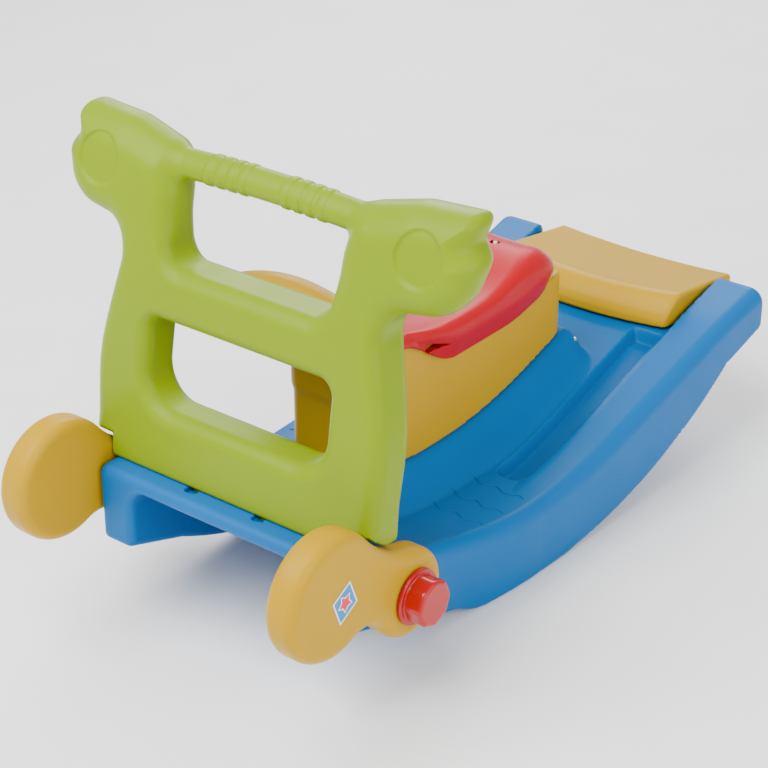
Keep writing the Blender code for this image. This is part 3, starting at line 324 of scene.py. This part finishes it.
def plated_metal(name, colour, roughness):
    """Zinc or brass with fine turning marks."""
    made = bpy.data.materials.new(name)
    made.use_nodes = True
    nodes, links = made.node_tree.nodes, made.node_tree.links
    shader = nodes["Principled BSDF"]
    tint = nodes.new("ShaderNodeMix")
    tint.data_type = "RGBA"
    tint.inputs["A"].default_value = (*(c * 0.85 for c in colour), 1.0)
    tint.inputs["B"].default_value = (*colour, 1.0)
    links.new(noise(nodes, links, 180.0), tint.inputs["Factor"])
    links.new(tint.outputs["Result"], shader.inputs["Base Color"])
    links.new(spread(nodes, links, noise(nodes, links, 900.0), roughness - 0.06, roughness + 0.10),
              shader.inputs["Roughness"])
    shader.inputs["Metallic"].default_value = 1.0
    return made


BLUE = moulded_plastic("blue_plastic", (0.0, 0.112, 0.34), 0.40, 0.08)
GREEN = moulded_plastic("green_plastic", (0.185, 0.275, 0.0), 0.34, 0.06)
YELLOW = moulded_plastic("yellow_plastic", (0.46, 0.265, 0.0), 0.36, 0.06)
RED = moulded_plastic("red_plastic", (0.42, 0.002, 0.010), 0.34, 0.05)
KNOB_RED = moulded_plastic("knob_red_plastic", (0.38, 0.0, 0.003), 0.16, 0.02, 0.0, 0.40)
NYLON = moulded_plastic("nylon", (0.80, 0.79, 0.74), 0.5, 0.05)
STEEL = plated_metal("zinc_steel", (0.26, 0.27, 0.29), 0.34)
BRASS = plated_metal("brass", (0.75, 0.53, 0.20), 0.28)
LABEL_BLUE = moulded_plastic("label_blue", (0.03, 0.22, 0.55), 0.25, 0.02)
LABEL_WHITE = moulded_plastic("label_white", (0.85, 0.85, 0.85), 0.25, 0.02)
LABEL_RED = moulded_plastic("label_red", (0.75, 0.03, 0.05), 0.25, 0.02)
LABEL_LOOKS = {"disc": LABEL_WHITE, "field": LABEL_BLUE, "rim": LABEL_WHITE, "star": LABEL_RED}


def dress(piece, look):
    piece.data.materials.clear()
    piece.data.materials.append(look)
    return piece


# ---------------------------------------------------------------- rocking base
def deck_height(x):
    """Height of the curbs: the platform, then an arc, then a straight climb."""
    reach = DECK_RADIUS * DECK_SLOPE / sqrt(1.0 + DECK_SLOPE ** 2)
    offset = np.minimum(x - DECK_LOW_X, reach)
    arc = DECK_LOW_Z + DECK_RADIUS - np.sqrt(DECK_RADIUS ** 2 - offset ** 2)
    climb = DECK_SLOPE * np.maximum(x - DECK_LOW_X - reach, 0.0)
    down = ramp(PLATFORM_END_X, DECK_START_X, x)
    return PLATFORM_Z * (1.0 - down) + (arc + climb) * down


def strip_height(x):
    """Height of the deck between curb and ridge; it flattens where the end plate sits."""
    height = deck_height(x) - STRIP_DROP * ramp(PLATFORM_END_X, DECK_START_X, x)
    pocket = deck_height(POCKET_X) - STRIP_DROP + POCKET_SLOPE * (x - POCKET_X)
    return np.where(x > POCKET_X, np.minimum(height, pocket), height)


def ridge_top(x):
    """Height of the ridge under the seat; it starts level with the platform."""
    start = ramp(PLATFORM_END_X, DECK_START_X + RIDGE_RAMP, x)
    return PLATFORM_Z * (1.0 - start) + (strip_height(x) + RIDGE_HEIGHT) * start


def side_half(x):
    """Half width of the base: it swells behind the arms, then widens evenly."""
    along = np.clip((x - SIDE_MIDDLE_X) / (SIDE_FULL_X - SIDE_MIDDLE_X), 0.0, 1.0)
    swell = (SIDE_MIDDLE - SIDE_NARROW) * ramp(SIDE_FLARE_X, SIDE_MIDDLE_X, x)
    return SIDE_NARROW + swell + (SIDE_WIDE - SIDE_MIDDLE) * along


def runner_low(x):
    """Underside of the runners: one long arc with a resting flat and a step before the tail."""
    away = np.maximum(np.maximum(REST_LOW_X - x, x - REST_HIGH_X), 0.0)
    arc = RUNNER_RADIUS - np.sqrt(RUNNER_RADIUS ** 2 - (x - RUNNER_MID_X) ** 2)
    arc = arc * ramp(0.0, REST_RAMP, away)
    tail = np.where(x > TAIL_X, TAIL_Z + TAIL_SLOPE * (x - TAIL_X), arc)
    nose = np.where(x < NOSE_X, NOSE_Z + NOSE_SLOPE * (NOSE_X - x), arc)
    return np.minimum(arc, np.minimum(tail, nose))


def deck_top(x, side):
    """Top surface of the base, with its curbs, ridge and foot grooves."""
    narrow = 1.0 - ramp(CURB_STEP_FROM_X, POCKET_X, x)
    middle = CURB_Y + CURB_STEP * (1.0 - narrow)
    curb = ramp(middle - CURB_SOFT - CURB_SOFTER * narrow, middle + CURB_SOFT + CURB_SOFTER * narrow, side)
    strip = strip_height(x)
    strip = strip + (deck_height(x) - strip) * np.maximum(curb, 1.0 - ramp(STRIP_FROM_X, STRIP_TO_X, x))
    rounded_end = np.maximum(GROOVE_START_X + GROOVE_HALF - x, 0.0)
    groove = np.hypot(rounded_end, side - GROOVE_Y) - GROOVE_HALF
    depth = GROOVE_DEPTH * (1.0 - ramp(-GROOVE_WALL_IN, GROOVE_WALL_OUT, groove))
    depth = depth * (1.0 - ramp(GROOVE_END_X - GROOVE_RAMP, GROOVE_END_X, x))
    outside = np.hypot(np.maximum(side - RIDGE_HALF, 0.0), np.maximum(x - RIDGE_END_X, 0.0))
    ridge = 1.0 - ramp(0.0, RIDGE_FLANK, outside)
    plain = strip - depth
    return plain + np.maximum(ridge_top(x) - plain, 0.0) * ridge


def tab_field(x, y, z, grow):
    """One of the two tongues under the handle frame, or its slot when grown."""
    middle = FOOT_X + TAB_INSET + TAB_THICK / 2 + (z - PLATFORM_Z) * tan(FRAME_LEAN)
    across = np.abs(x - middle) - TAB_THICK / 2 - grow
    along = np.abs(np.abs(y) - TAB_Y) - TAB_WIDTH / 2 - grow
    up = np.maximum(PLATFORM_Z - TAB_LENGTH - grow - z, z - PLATFORM_Z - TAB_BURIED)
    return both(both(across, along, TAB_EDGE), up, TAB_EDGE)


def base_field(x, y, z):
    side = np.abs(y)
    half = side_half(x)
    edge = SIDE_EDGE + SIDE_EDGE_GAIN * ramp(SIDE_EDGE_FROM_X, SIDE_EDGE_TO_X, x)
    over_end = np.clip(x - BASE_HIGH.x + END_RADIUS, 0.0, END_RADIUS)
    top = deck_top(x, side) - END_RADIUS + np.sqrt(END_RADIUS ** 2 - over_end ** 2)
    top = top - END_DROP * ramp(END_DROP_X, BASE_HIGH.x, x)
    block = both(side - half, (z - top) * 0.9, edge)
    block = both(block, BASE_LOW.x - x, FRONT_EDGE)
    block = both(block, x - BASE_HIGH.x - 0.001, END_EDGE)
    block = both(block, runner_low(x) - z, RUNNER_EDGE)
    under = np.minimum(deck_height(x) - FLOOR_THICK, strip_height(x) - FLOOR_LEAST)
    under = under + (PLATFORM_Z - PLATFORM_THICK - under) * (1.0 - ramp(UNDER_FROM_X, UNDER_TO_X, x))
    hollow = both(side - half + RUNNER_THICK, z - under, UNDER_FILLET)
    block = both(block, -hollow, RUNNER_IN_EDGE)
    bore = np.hypot(x - PIVOT_X, z - PIVOT_Z) - BOLT_BORE
    block = np.maximum(block, -np.maximum(bore, BORE_FROM_Y - side))
    notch = np.maximum(np.abs(side - TAB_Y) - NOTCH_HALF, np.abs(x - NOTCH_X) - NOTCH_REACH)
    block = np.maximum(block, -np.maximum(notch, PLATFORM_Z - NOTCH_DEPTH - z))
    return np.maximum(block, -tab_field(x, y, z, TAB_CLEARANCE))


def wave_line(name, points, field, radius):
    """Thin raised line that follows a moulding's surface."""
    points = settle(field, np.array(points, float), 0.02, rounds=6)
    curve = bpy.data.curves.new(name, "CURVE")
    curve.dimensions = "3D"
    curve.bevel_depth = radius
    curve.bevel_resolution = 2
    curve.use_fill_caps = True
    spline = curve.splines.new("POLY")
    spline.points.add(len(points) - 1)
    for i, (point, place) in enumerate(zip(spline.points, points)):
        point.co = (*place, 1.0)
        point.radius = 0.35 + 0.65 * sin(pi * i / (len(points) - 1)) ** 0.4
    line = bpy.data.objects.new(name, curve)
    bpy.context.scene.collection.objects.link(line)
    return line


def merged(name, lines):
    """Turns curve objects into one mesh object."""
    depsgraph = bpy.context.evaluated_depsgraph_get()
    points, faces = [], []
    for line in lines:
        mesh = bpy.data.meshes.new_from_object(line.evaluated_get(depsgraph))
        first = len(points)
        points += [tuple(vert.co) for vert in mesh.vertices]
        faces += [[first + i for i in face.vertices] for face in mesh.polygons]
        bpy.data.meshes.remove(mesh)
        bpy.data.objects.remove(line)
    mesh = bpy.data.meshes.new(name)
    mesh.from_pydata(points, [], faces)
    mesh.shade_smooth()
    made = bpy.data.objects.new(name, mesh)
    bpy.context.scene.collection.objects.link(made)
    return made


def make_base():
    base = skin("rocker_base_skin", base_field, (BASE_LOW.x - 0.008, -0.222, -0.008),
                (BASE_HIGH.x + 0.010, 0.222, 0.236), CELLS["rocker_base"])
    lines = []
    for side in SIDES.values():
        for x in WAVES_X:
            wave = []
            for k in range(WAVE_STEPS + 1):
                t = k / WAVE_STEPS
                along = x - WAVE_SKEW * t + WAVE_HEIGHT * sin(WAVE_BENDS * pi * t)
                wave.append((along, side * (WAVE_Y + WAVE_LENGTH * t), float(deck_height(x))))
            lines.append(wave_line("foot_wave", wave, base_field, WAVE_RADIUS))
    bpy.context.view_layer.update()
    waves = merged("deck_waves", lines)
    for piece in (base, waves):
        dress(piece, BLUE)
        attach(piece, "base")
    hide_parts("rocker_base")


# ---------------------------------------------------------------- handle frame
# half width, height and rounding of the corners: foot, cheek, muzzle, ear, crown, upper window
FRAME_HALF = [(0.201, 0.0, 0.010), (0.207, 0.040, 0.050), (0.2095, 0.125, 0.25), (0.176, 0.269, 0.035),
              (0.271, 0.282, 0.050), (0.287, 0.340, 0.020), (0.2725, 0.357, 0.008), (0.280, 0.388, 0.012),
              (0.200, 0.383, 0.060), (0.128, 0.365, 0.030), (0.1165, 0.318, 0.10), (0.115, 0.2405, 0.024)]
LOWER_WINDOW = [(0.131, 0.0755, 0.042), (0.131, 0.180, 0.016)]
FRAME_OUTLINE = rounded_outline(mirrored(FRAME_HALF))
WINDOW_OUTLINE = rounded_outline(mirrored(LOWER_WINDOW))


def frame_lean(h):
    """Shift of the frame towards the rider at height h above its foot."""
    t = np.clip(h / FRAME_HEIGHT, 0.0, 1.0)
    return h * tan(FRAME_LEAN) - FRAME_BOW * 4.0 * t * (1.0 - t)


def handle_radius(y):
    """Grip bar with two groups of raised rings."""
    rise = 0.0
    for k in range(RINGS):
        away = np.abs(np.abs(y) - RING_FIRST_Y - RING_PITCH * k)
        rise = rise + RING_RISE * ramp(RING_FOOT, RING_TOP, away)
    return HANDLE_RADIUS + rise


def frame_field(x, y, z):
    h = z - PLATFORM_Z - GAP
    depth = x - FOOT_X - frame_lean(h)
    thick = FRAME_THICK + FRAME_TAPER * h
    eye = np.hypot(np.abs(y) - EYE_Y, h - EYE_Z)
    recess = EYE_DEPTH * ramp(EYE_RADIUS + EYE_WALL_OUT, EYE_RADIUS - EYE_WALL_IN, eye)
    outside = outline_distance(FRAME_OUTLINE, y, h)
    head = ramp(HEAD_FROM_HEIGHT, HEAD_TO_HEIGHT, h)
    edge = FOOT_EDGE + (BAR_EDGE - FOOT_EDGE) * ramp(0.0, BAR_EDGE_HEIGHT, h) + (HEAD_EDGE - BAR_EDGE) * head
    plate = both(outside, recess - depth, edge)
    plate = both(plate, depth - thick, edge)
    plate = both(plate, -outline_distance(WINDOW_OUTLINE, y, h), BAR_EDGE)
    beside_arm = np.minimum(ARM_CLEARANCE - outline_distance(ARM_OUTLINE, x, z), np.abs(y) - FOOT_HALF)
    plate = np.maximum(plate, beside_arm)
    centre = HANDLE_Z + HANDLE_ARCH * np.cos(pi * y / (2 * HANDLE_HALF))
    bar = np.hypot(depth - thick / 2, h - centre) - handle_radius(y)
    bar = both(bar, np.abs(y) - HANDLE_HALF, 0.002)
    field = either(plate, bar, HANDLE_FILLET)
    return np.minimum(field, tab_field(x, y, z, 0.0))


def make_frame():
    low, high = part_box("handle_frame")
    body = skin_of("handle_frame", frame_field, low, high, (0.012, 0.008, 0.006), (0.012, 0.008, 0.008))
    dress(body, GREEN)
    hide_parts("handle_frame")
    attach(body, "frame")


# ---------------------------------------------------------------- side arms and knobs
def arm_outline():
    """Two discs joined by hollow arcs that touch both of them."""
    lobe, boss = Vector((LOBE_X, LOBE_Z)), Vector((PIVOT_X, PIVOT_Z))
    along = (boss - lobe).normalized()
    across = Vector((-along.y, along.x))
    distance = (boss - lobe).length

    def neck(radius, side):
        reach = (distance ** 2 + (LOBE_RADIUS + radius) ** 2 - (BOSS_RADIUS + radius) ** 2) / (2 * distance)
        return lobe + along * reach + across * (side * sqrt((LOBE_RADIUS + radius) ** 2 - reach ** 2))

    def bearing(centre, point):
        return np.arctan2(point.y - centre.y, point.x - centre.x)

    points = []

    def sweep(centre, radius, start, end, turning):
        first, last = bearing(centre, start), bearing(centre, end)
        if turning * (last - first) < 0.0:
            last += turning * 2 * pi
        for angle in np.arange(first, last, turning * 0.10):
            points.append((centre.x + radius * cos(angle), centre.y + radius * sin(angle)))

    upper, lower = neck(NECK_TOP_RADIUS, 1), neck(NECK_LOW_RADIUS, -1)
    sweep(lobe, LOBE_RADIUS, upper, lower, 1)
    sweep(lower, NECK_LOW_RADIUS, lobe, boss, -1)
    sweep(boss, BOSS_RADIUS, lower, upper, 1)
    sweep(upper, NECK_TOP_RADIUS, boss, lobe, -1)
    return points


ARM_OUTLINE = arm_outline()


def arm_field(x, y, z):
    middle = ARM_INNER_Y + ARM_THICK / 2
    slab = both(outline_distance(ARM_OUTLINE, x, z), np.abs(y - middle) - ARM_THICK / 2, ARM_EDGE)
    bore = np.hypot(x - PIVOT_X, z - PIVOT_Z) - BUSH_BORE
    return np.maximum(slab, -bore)


def knob_field(x, y, z):
    out = y - ARM_INNER_Y - ARM_THICK - GAP
    radius = np.hypot(x - PIVOT_X, z - PIVOT_Z)
    flat = np.abs(out - KNOB_FLANGE_THICK / 2) - KNOB_FLANGE_THICK / 2
    flange = both(radius - KNOB_FLANGE_RADIUS, flat, KNOB_FLANGE_EDGE)
    across_flats = KNOB_RADIUS * cos(pi / (2 * KNOB_FACET_PAIRS))
    grip = None
    for k in range(KNOB_FACET_PAIRS):
        angle = pi * (k + 0.5) / KNOB_FACET_PAIRS
        facet = np.abs((x - PIVOT_X) * cos(angle) + (z - PIVOT_Z) * sin(angle)) - across_flats
        grip = both(grip, facet, KNOB_FACET_EDGE) if k else facet
    grip = both(grip, np.abs(out - KNOB_LENGTH / 2) - KNOB_LENGTH / 2, KNOB_END_EDGE)
    whole = either(flange, grip, KNOB_FILLET)
    bore = np.maximum(radius - INSERT_BORE, out - INSERT_BORE_DEPTH)
    return np.maximum(whole, -bore)


def mirror_copy(source, name):
    """Copy of an object across the plane y = 0."""
    mesh = source.data.copy()
    mesh.transform(Matrix.Scale(-1.0, 4, (0.0, 1.0, 0.0)))
    mesh.flip_normals()
    made = bpy.data.objects.new(name, mesh)
    bpy.context.scene.collection.objects.link(made)
    return made


def flat_shape(name, outline, face, side, rise, look):
    """Thin raised shape on the outer face of an arm."""
    mesh = bpy.data.meshes.new(name)
    count = len(outline)
    points = [(x, side * y, z) for y in (face, face + rise) for x, z in outline]
    faces = [list(range(count)), list(range(2 * count - 1, count - 1, -1))]
    faces += [[i, count + i, count + (i + 1) % count, (i + 1) % count] for i in range(count)]
    if side < 0.0:
        faces = [face_corners[::-1] for face_corners in faces]
    mesh.from_pydata(points, [], faces)
    made = bpy.data.objects.new(name, mesh)
    bpy.context.scene.collection.objects.link(made)
    mesh.materials.append(look)
    return made


def make_label(word, side):
    """Generic diamond badge with a plain star."""
    low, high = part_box("label_" + word)
    x, z = (low.x + high.x) / 2, (low.z + high.z) / 2 - LABEL_DROP
    face = min(abs(low.y), abs(high.y))
    rise = LABEL_THICK
    for layer, radii, count in LABEL_LAYERS:
        outline = []
        for k in range(count):
            turn, size = LABEL_TURN + 2 * pi * k / count, radii[k % 2]
            outline.append((x + size * cos(turn), z + size * sin(turn)))
        piece = flat_shape(f"label_{layer}_{word}", outline, face, side, rise, LABEL_LOOKS[layer])
        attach(piece, "arm_" + word)
        face += rise
        rise = LABEL_THICK / 3
    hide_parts("label_" + word)


def make_arms():
    low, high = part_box("arm_left")
    arm = skin_of("arm_left", arm_field, low, high)
    low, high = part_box("knob_left")
    knob = skin_of("knob_left", knob_field, low, high, (0.003, 0.003, 0.003), (0.003, 0.003, 0.003))
    pairs = {"left": (arm, knob),
             "right": (mirror_copy(arm, "arm_right_skin"), mirror_copy(knob, "knob_right_skin"))}
    for word, (arm_piece, knob_piece) in pairs.items():
        dress(arm_piece, YELLOW)
        dress(knob_piece, KNOB_RED)
        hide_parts("arm_" + word)
        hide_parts("knob_" + word)
        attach(arm_piece, "arm_" + word)
        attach(knob_piece, "knob_" + word)
        make_label(word, SIDES[word])


# ---------------------------------------------------------------- seat
def saddle_top(x):
    """Height of the saddle along its middle: a dip that swells into a rounded tail."""
    dip = DIP_Z + DIP_CURVE * (x - DIP_X) ** 2 + SWELL * ramp(0.03, 0.16, x)
    tail = SWELL_TAIL_Z - SWELL_TAIL_CURVE * np.maximum(0.0, x - SWELL_TAIL_X) ** 2
    return (dip + tail - np.sqrt((dip - tail) ** 2 + SWELL_BLEND ** 2)) / 2.0


def saddle_skirt(x):
    """Lower edge of the saddle's skirt."""
    return SKIRT_Z + SKIRT_FRONT_RISE * ramp(-0.02, -0.13, x) + SKIRT_REAR_RISE * ramp(0.08, 0.22, x)


def pedestal_top(x):
    """Top of the pedestal, which drops to the skirt's edge under the saddle's tail."""
    drop = saddle_skirt(x) + SHELF_OVER_SKIRT - PEDESTAL_LIMIT_Z
    shelf = PEDESTAL_LIMIT_Z + drop * ramp(SHELF_FROM_X, SHELF_TO_X, x)
    return np.minimum(saddle_top(x) - PEDESTAL_UNDER_SADDLE, shelf)


def pedestal_plan(x, side, grow):
    """Outline of the pedestal from above, grown a little for the saddle's pocket."""
    middle, reach = (PEDESTAL_FRONT_X + PEDESTAL_END_X) / 2, (PEDESTAL_END_X - PEDESTAL_FRONT_X) / 2
    corner = PEDESTAL_CORNER + PEDESTAL_CORNER_GAIN * ramp(0.0, 0.15, x)
    return both(side - PEDESTAL_HALF - grow, np.abs(x - middle) - reach - grow, corner)


def pedestal_field(x, y, z):
    side = np.abs(y)
    box = both(pedestal_plan(x, side, 0.0), z - pedestal_top(x), PEDESTAL_TOP_EDGE)
    box = np.maximum(box, ridge_top(x) - SUNK - z)
    flare = ramp(FLARE_FROM_Z, FLARE_TO_Z, z)
    middle = PEDESTAL_FRONT_X + POMMEL_INSET + (POMMEL_X - PEDESTAL_FRONT_X - POMMEL_INSET) * flare
    width = PEDESTAL_HALF - POMMEL_NARROW + (POMMEL_HALF - PEDESTAL_HALF + POMMEL_NARROW) * flare
    shield = both(side - width, np.abs(x - middle) - POMMEL_DEEP, POMMEL_EDGE)
    shield = both(shield, z - POMMEL_Z + side ** 2 / (2 * POMMEL_ARCH), POMMEL_EDGE)
    shield = both(shield, POMMEL_LOW_Z - z, PEDESTAL_TOP_EDGE)
    return either(box, shield, POMMEL_FILLET)


def saddle_field(x, y, z):
    side = np.abs(y)
    skirt, top = saddle_skirt(x), saddle_top(x)
    tuck = 1.0 - ramp(skirt - SADDLE_TUCK_BELOW, skirt + SADDLE_TUCK_ABOVE, z)
    tuck = (SADDLE_HALF - SADDLE_WAIST) * tuck
    narrow = SADDLE_HALF * SADDLE_NARROW * (1.0 - ramp(SADDLE_FRONT_X, -0.08, x))
    tail = np.maximum(x - SADDLE_TAIL_X, 0.0) * SADDLE_HALF / (SADDLE_END_X - SADDLE_TAIL_X)
    plan = np.hypot(tail, side) - SADDLE_HALF + np.minimum(tuck + narrow, SADDLE_HALF - SADDLE_WAIST)
    plan = both(plan, SADDLE_FRONT_X - x, SADDLE_FRONT_EDGE)
    crown = top + CROWN_RISE * (side / SADDLE_HALF) ** 2
    body = both(plan, z - crown, CROWN_EDGE + CROWN_EDGE_GAIN * ramp(0.06, 0.17, x))
    body = both(body, skirt - z, SKIRT_EDGE)
    pocket = np.maximum(pedestal_plan(x, side, POCKET_GAP), z - pedestal_top(x) - POCKET_GAP)
    slot = np.maximum(SLOT_X - x, (z - SLOT_TOP + SLOT_FALL * (x - SLOT_X)) * 0.95)
    slot = np.maximum(slot, SLOT_LOW + SLOT_RISE * (x - SLOT_X) - z)
    sink = np.minimum(*(np.hypot(x - place, y) for place in SADDLE_SCREWS_X)) - SADDLE_SINK_RADIUS
    sink = np.maximum(sink, SADDLE_SINK_Z - z)
    return np.maximum(np.maximum(body, -pocket), -np.minimum(slot, sink))


def make_seat():
    low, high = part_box("seat_pedestal")
    pedestal = skin_of("seat_pedestal", pedestal_field, low, high)
    low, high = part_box("seat_saddle")
    saddle = skin_of("seat_saddle", saddle_field, low, high, MARGIN, (0.006, 0.006, 0.012))
    dress(pedestal, YELLOW)
    dress(saddle, RED)
    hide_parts("seat_pedestal")
    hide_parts("seat_saddle")
    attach(pedestal, "base")
    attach(saddle, "base")


# ---------------------------------------------------------------- end plate
def plate_field(x, y, z):
    side = np.abs(y)
    lip = PLATE_LOW.x + PLATE_SWEEP * side ** 2
    nose = np.clip(1.0 - (x - lip) / PLATE_NOSE, 0.0, 1.0)
    along = (x - PLATE_LOW.x) / (PLATE_HIGH.x - PLATE_LOW.x)
    crest = PLATE_LIP_Z + (PLATE_END_Z - PLATE_LIP_Z) * along
    dish = PLATE_DISH * (1.0 - (side / PLATE_HALF) ** 2) * (1.0 - nose)
    top = z - crest + PLATE_NOSE_DROP * nose ** 2.4 + dish
    half = PLATE_HALF - PLATE_NOSE_NARROW * nose ** 3
    low_rest = strip_height(np.minimum(x, BASE_HIGH.x)) - SUNK + PLATE_LIP_RISE * nose
    low_free = crest - dish - PLATE_SHEET
    free = ramp(BASE_HIGH.x + PLATE_FREE_FROM, BASE_HIGH.x + PLATE_FREE_TO, x)
    low = low_rest + (low_free - low_rest) * free
    sheet = both(side - half, top, PLATE_SIDE_EDGE)
    sheet = both(sheet, np.maximum(lip - x, x - PLATE_HIGH.x), PLATE_END_EDGE)
    return both(sheet, low - z, PLATE_LOW_EDGE)


def make_plate():
    plate = skin_of("end_plate", plate_field, PLATE_LOW, PLATE_HIGH)
    dress(plate, YELLOW)
    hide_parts("end_plate")
    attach(plate, "base")


# ---------------------------------------------------------------- hardware carried over from the frame
def dress_hardware():
    looks = {"screw": (STEEL, "zinc_steel"), "bolt": (STEEL, "zinc_steel"), "washer": (STEEL, "zinc_steel"),
             "bush": (NYLON, "nylon"), "insert": (BRASS, "brass")}
    for name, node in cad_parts.items():
        for word, (look, slot) in looks.items():
            if word in name:
                dress(node, look)


# ---------------------------------------------------------------- room
def area_light(name, place, target, size, power):
    light = bpy.data.lights.new(name, "AREA")
    light.shape = "RECTANGLE"
    light.size, light.size_y = size
    light.energy = power
    made = bpy.data.objects.new(name, light)
    bpy.context.scene.collection.objects.link(made)
    made.location = place
    made.rotation_euler = (Vector(target) - Vector(place)).to_track_quat("-Z", "Y").to_euler()
    return made


def make_room():
    mesh = bpy.data.meshes.new("floor")
    reach = 6.0
    corners = [(-reach, -reach, 0.0), (reach, -reach, 0.0), (reach, reach, 0.0), (-reach, reach, 0.0)]
    mesh.from_pydata(corners, [], [(0, 1, 2, 3)])
    floor = bpy.data.objects.new("floor", mesh)
    bpy.context.scene.collection.objects.link(floor)
    mesh.materials.append(moulded_plastic("pale_floor", (0.97, 0.97, 0.97), 0.7, 0.0))
    middle = (0.0, 0.0, 0.2)
    area_light("key", (-1.6, 0.6, 2.6), middle, (2.4, 2.4), 170.0)
    area_light("fill", (-0.6, -2.8, 1.5), middle, (2.6, 2.0), 70.0)
    area_light("rim", (2.2, 1.4, 1.9), middle, (2.0, 1.6), 70.0)
    world = bpy.data.worlds.new("studio")
    world.use_nodes = True
    world.node_tree.nodes["Background"].inputs["Color"].default_value = (1.0, 1.0, 1.0, 1.0)
    world.node_tree.nodes["Background"].inputs["Strength"].default_value = 0.70
    bpy.context.scene.world = world


def make_camera():
    data = bpy.data.cameras.new("camera")
    data.lens, data.sensor_width = CAMERA_LENS, 36.0
    camera = bpy.data.objects.new("camera", data)
    bpy.context.scene.collection.objects.link(camera)
    camera.location = CAMERA_PLACE
    camera.rotation_euler = (radians(CAMERA_PITCH), 0.0, radians(CAMERA_HEADING))
    bpy.context.scene.camera = camera


make_camera()
make_room()
make_base()
make_frame()
make_arms()
make_seat()
make_plate()
dress_hardware()
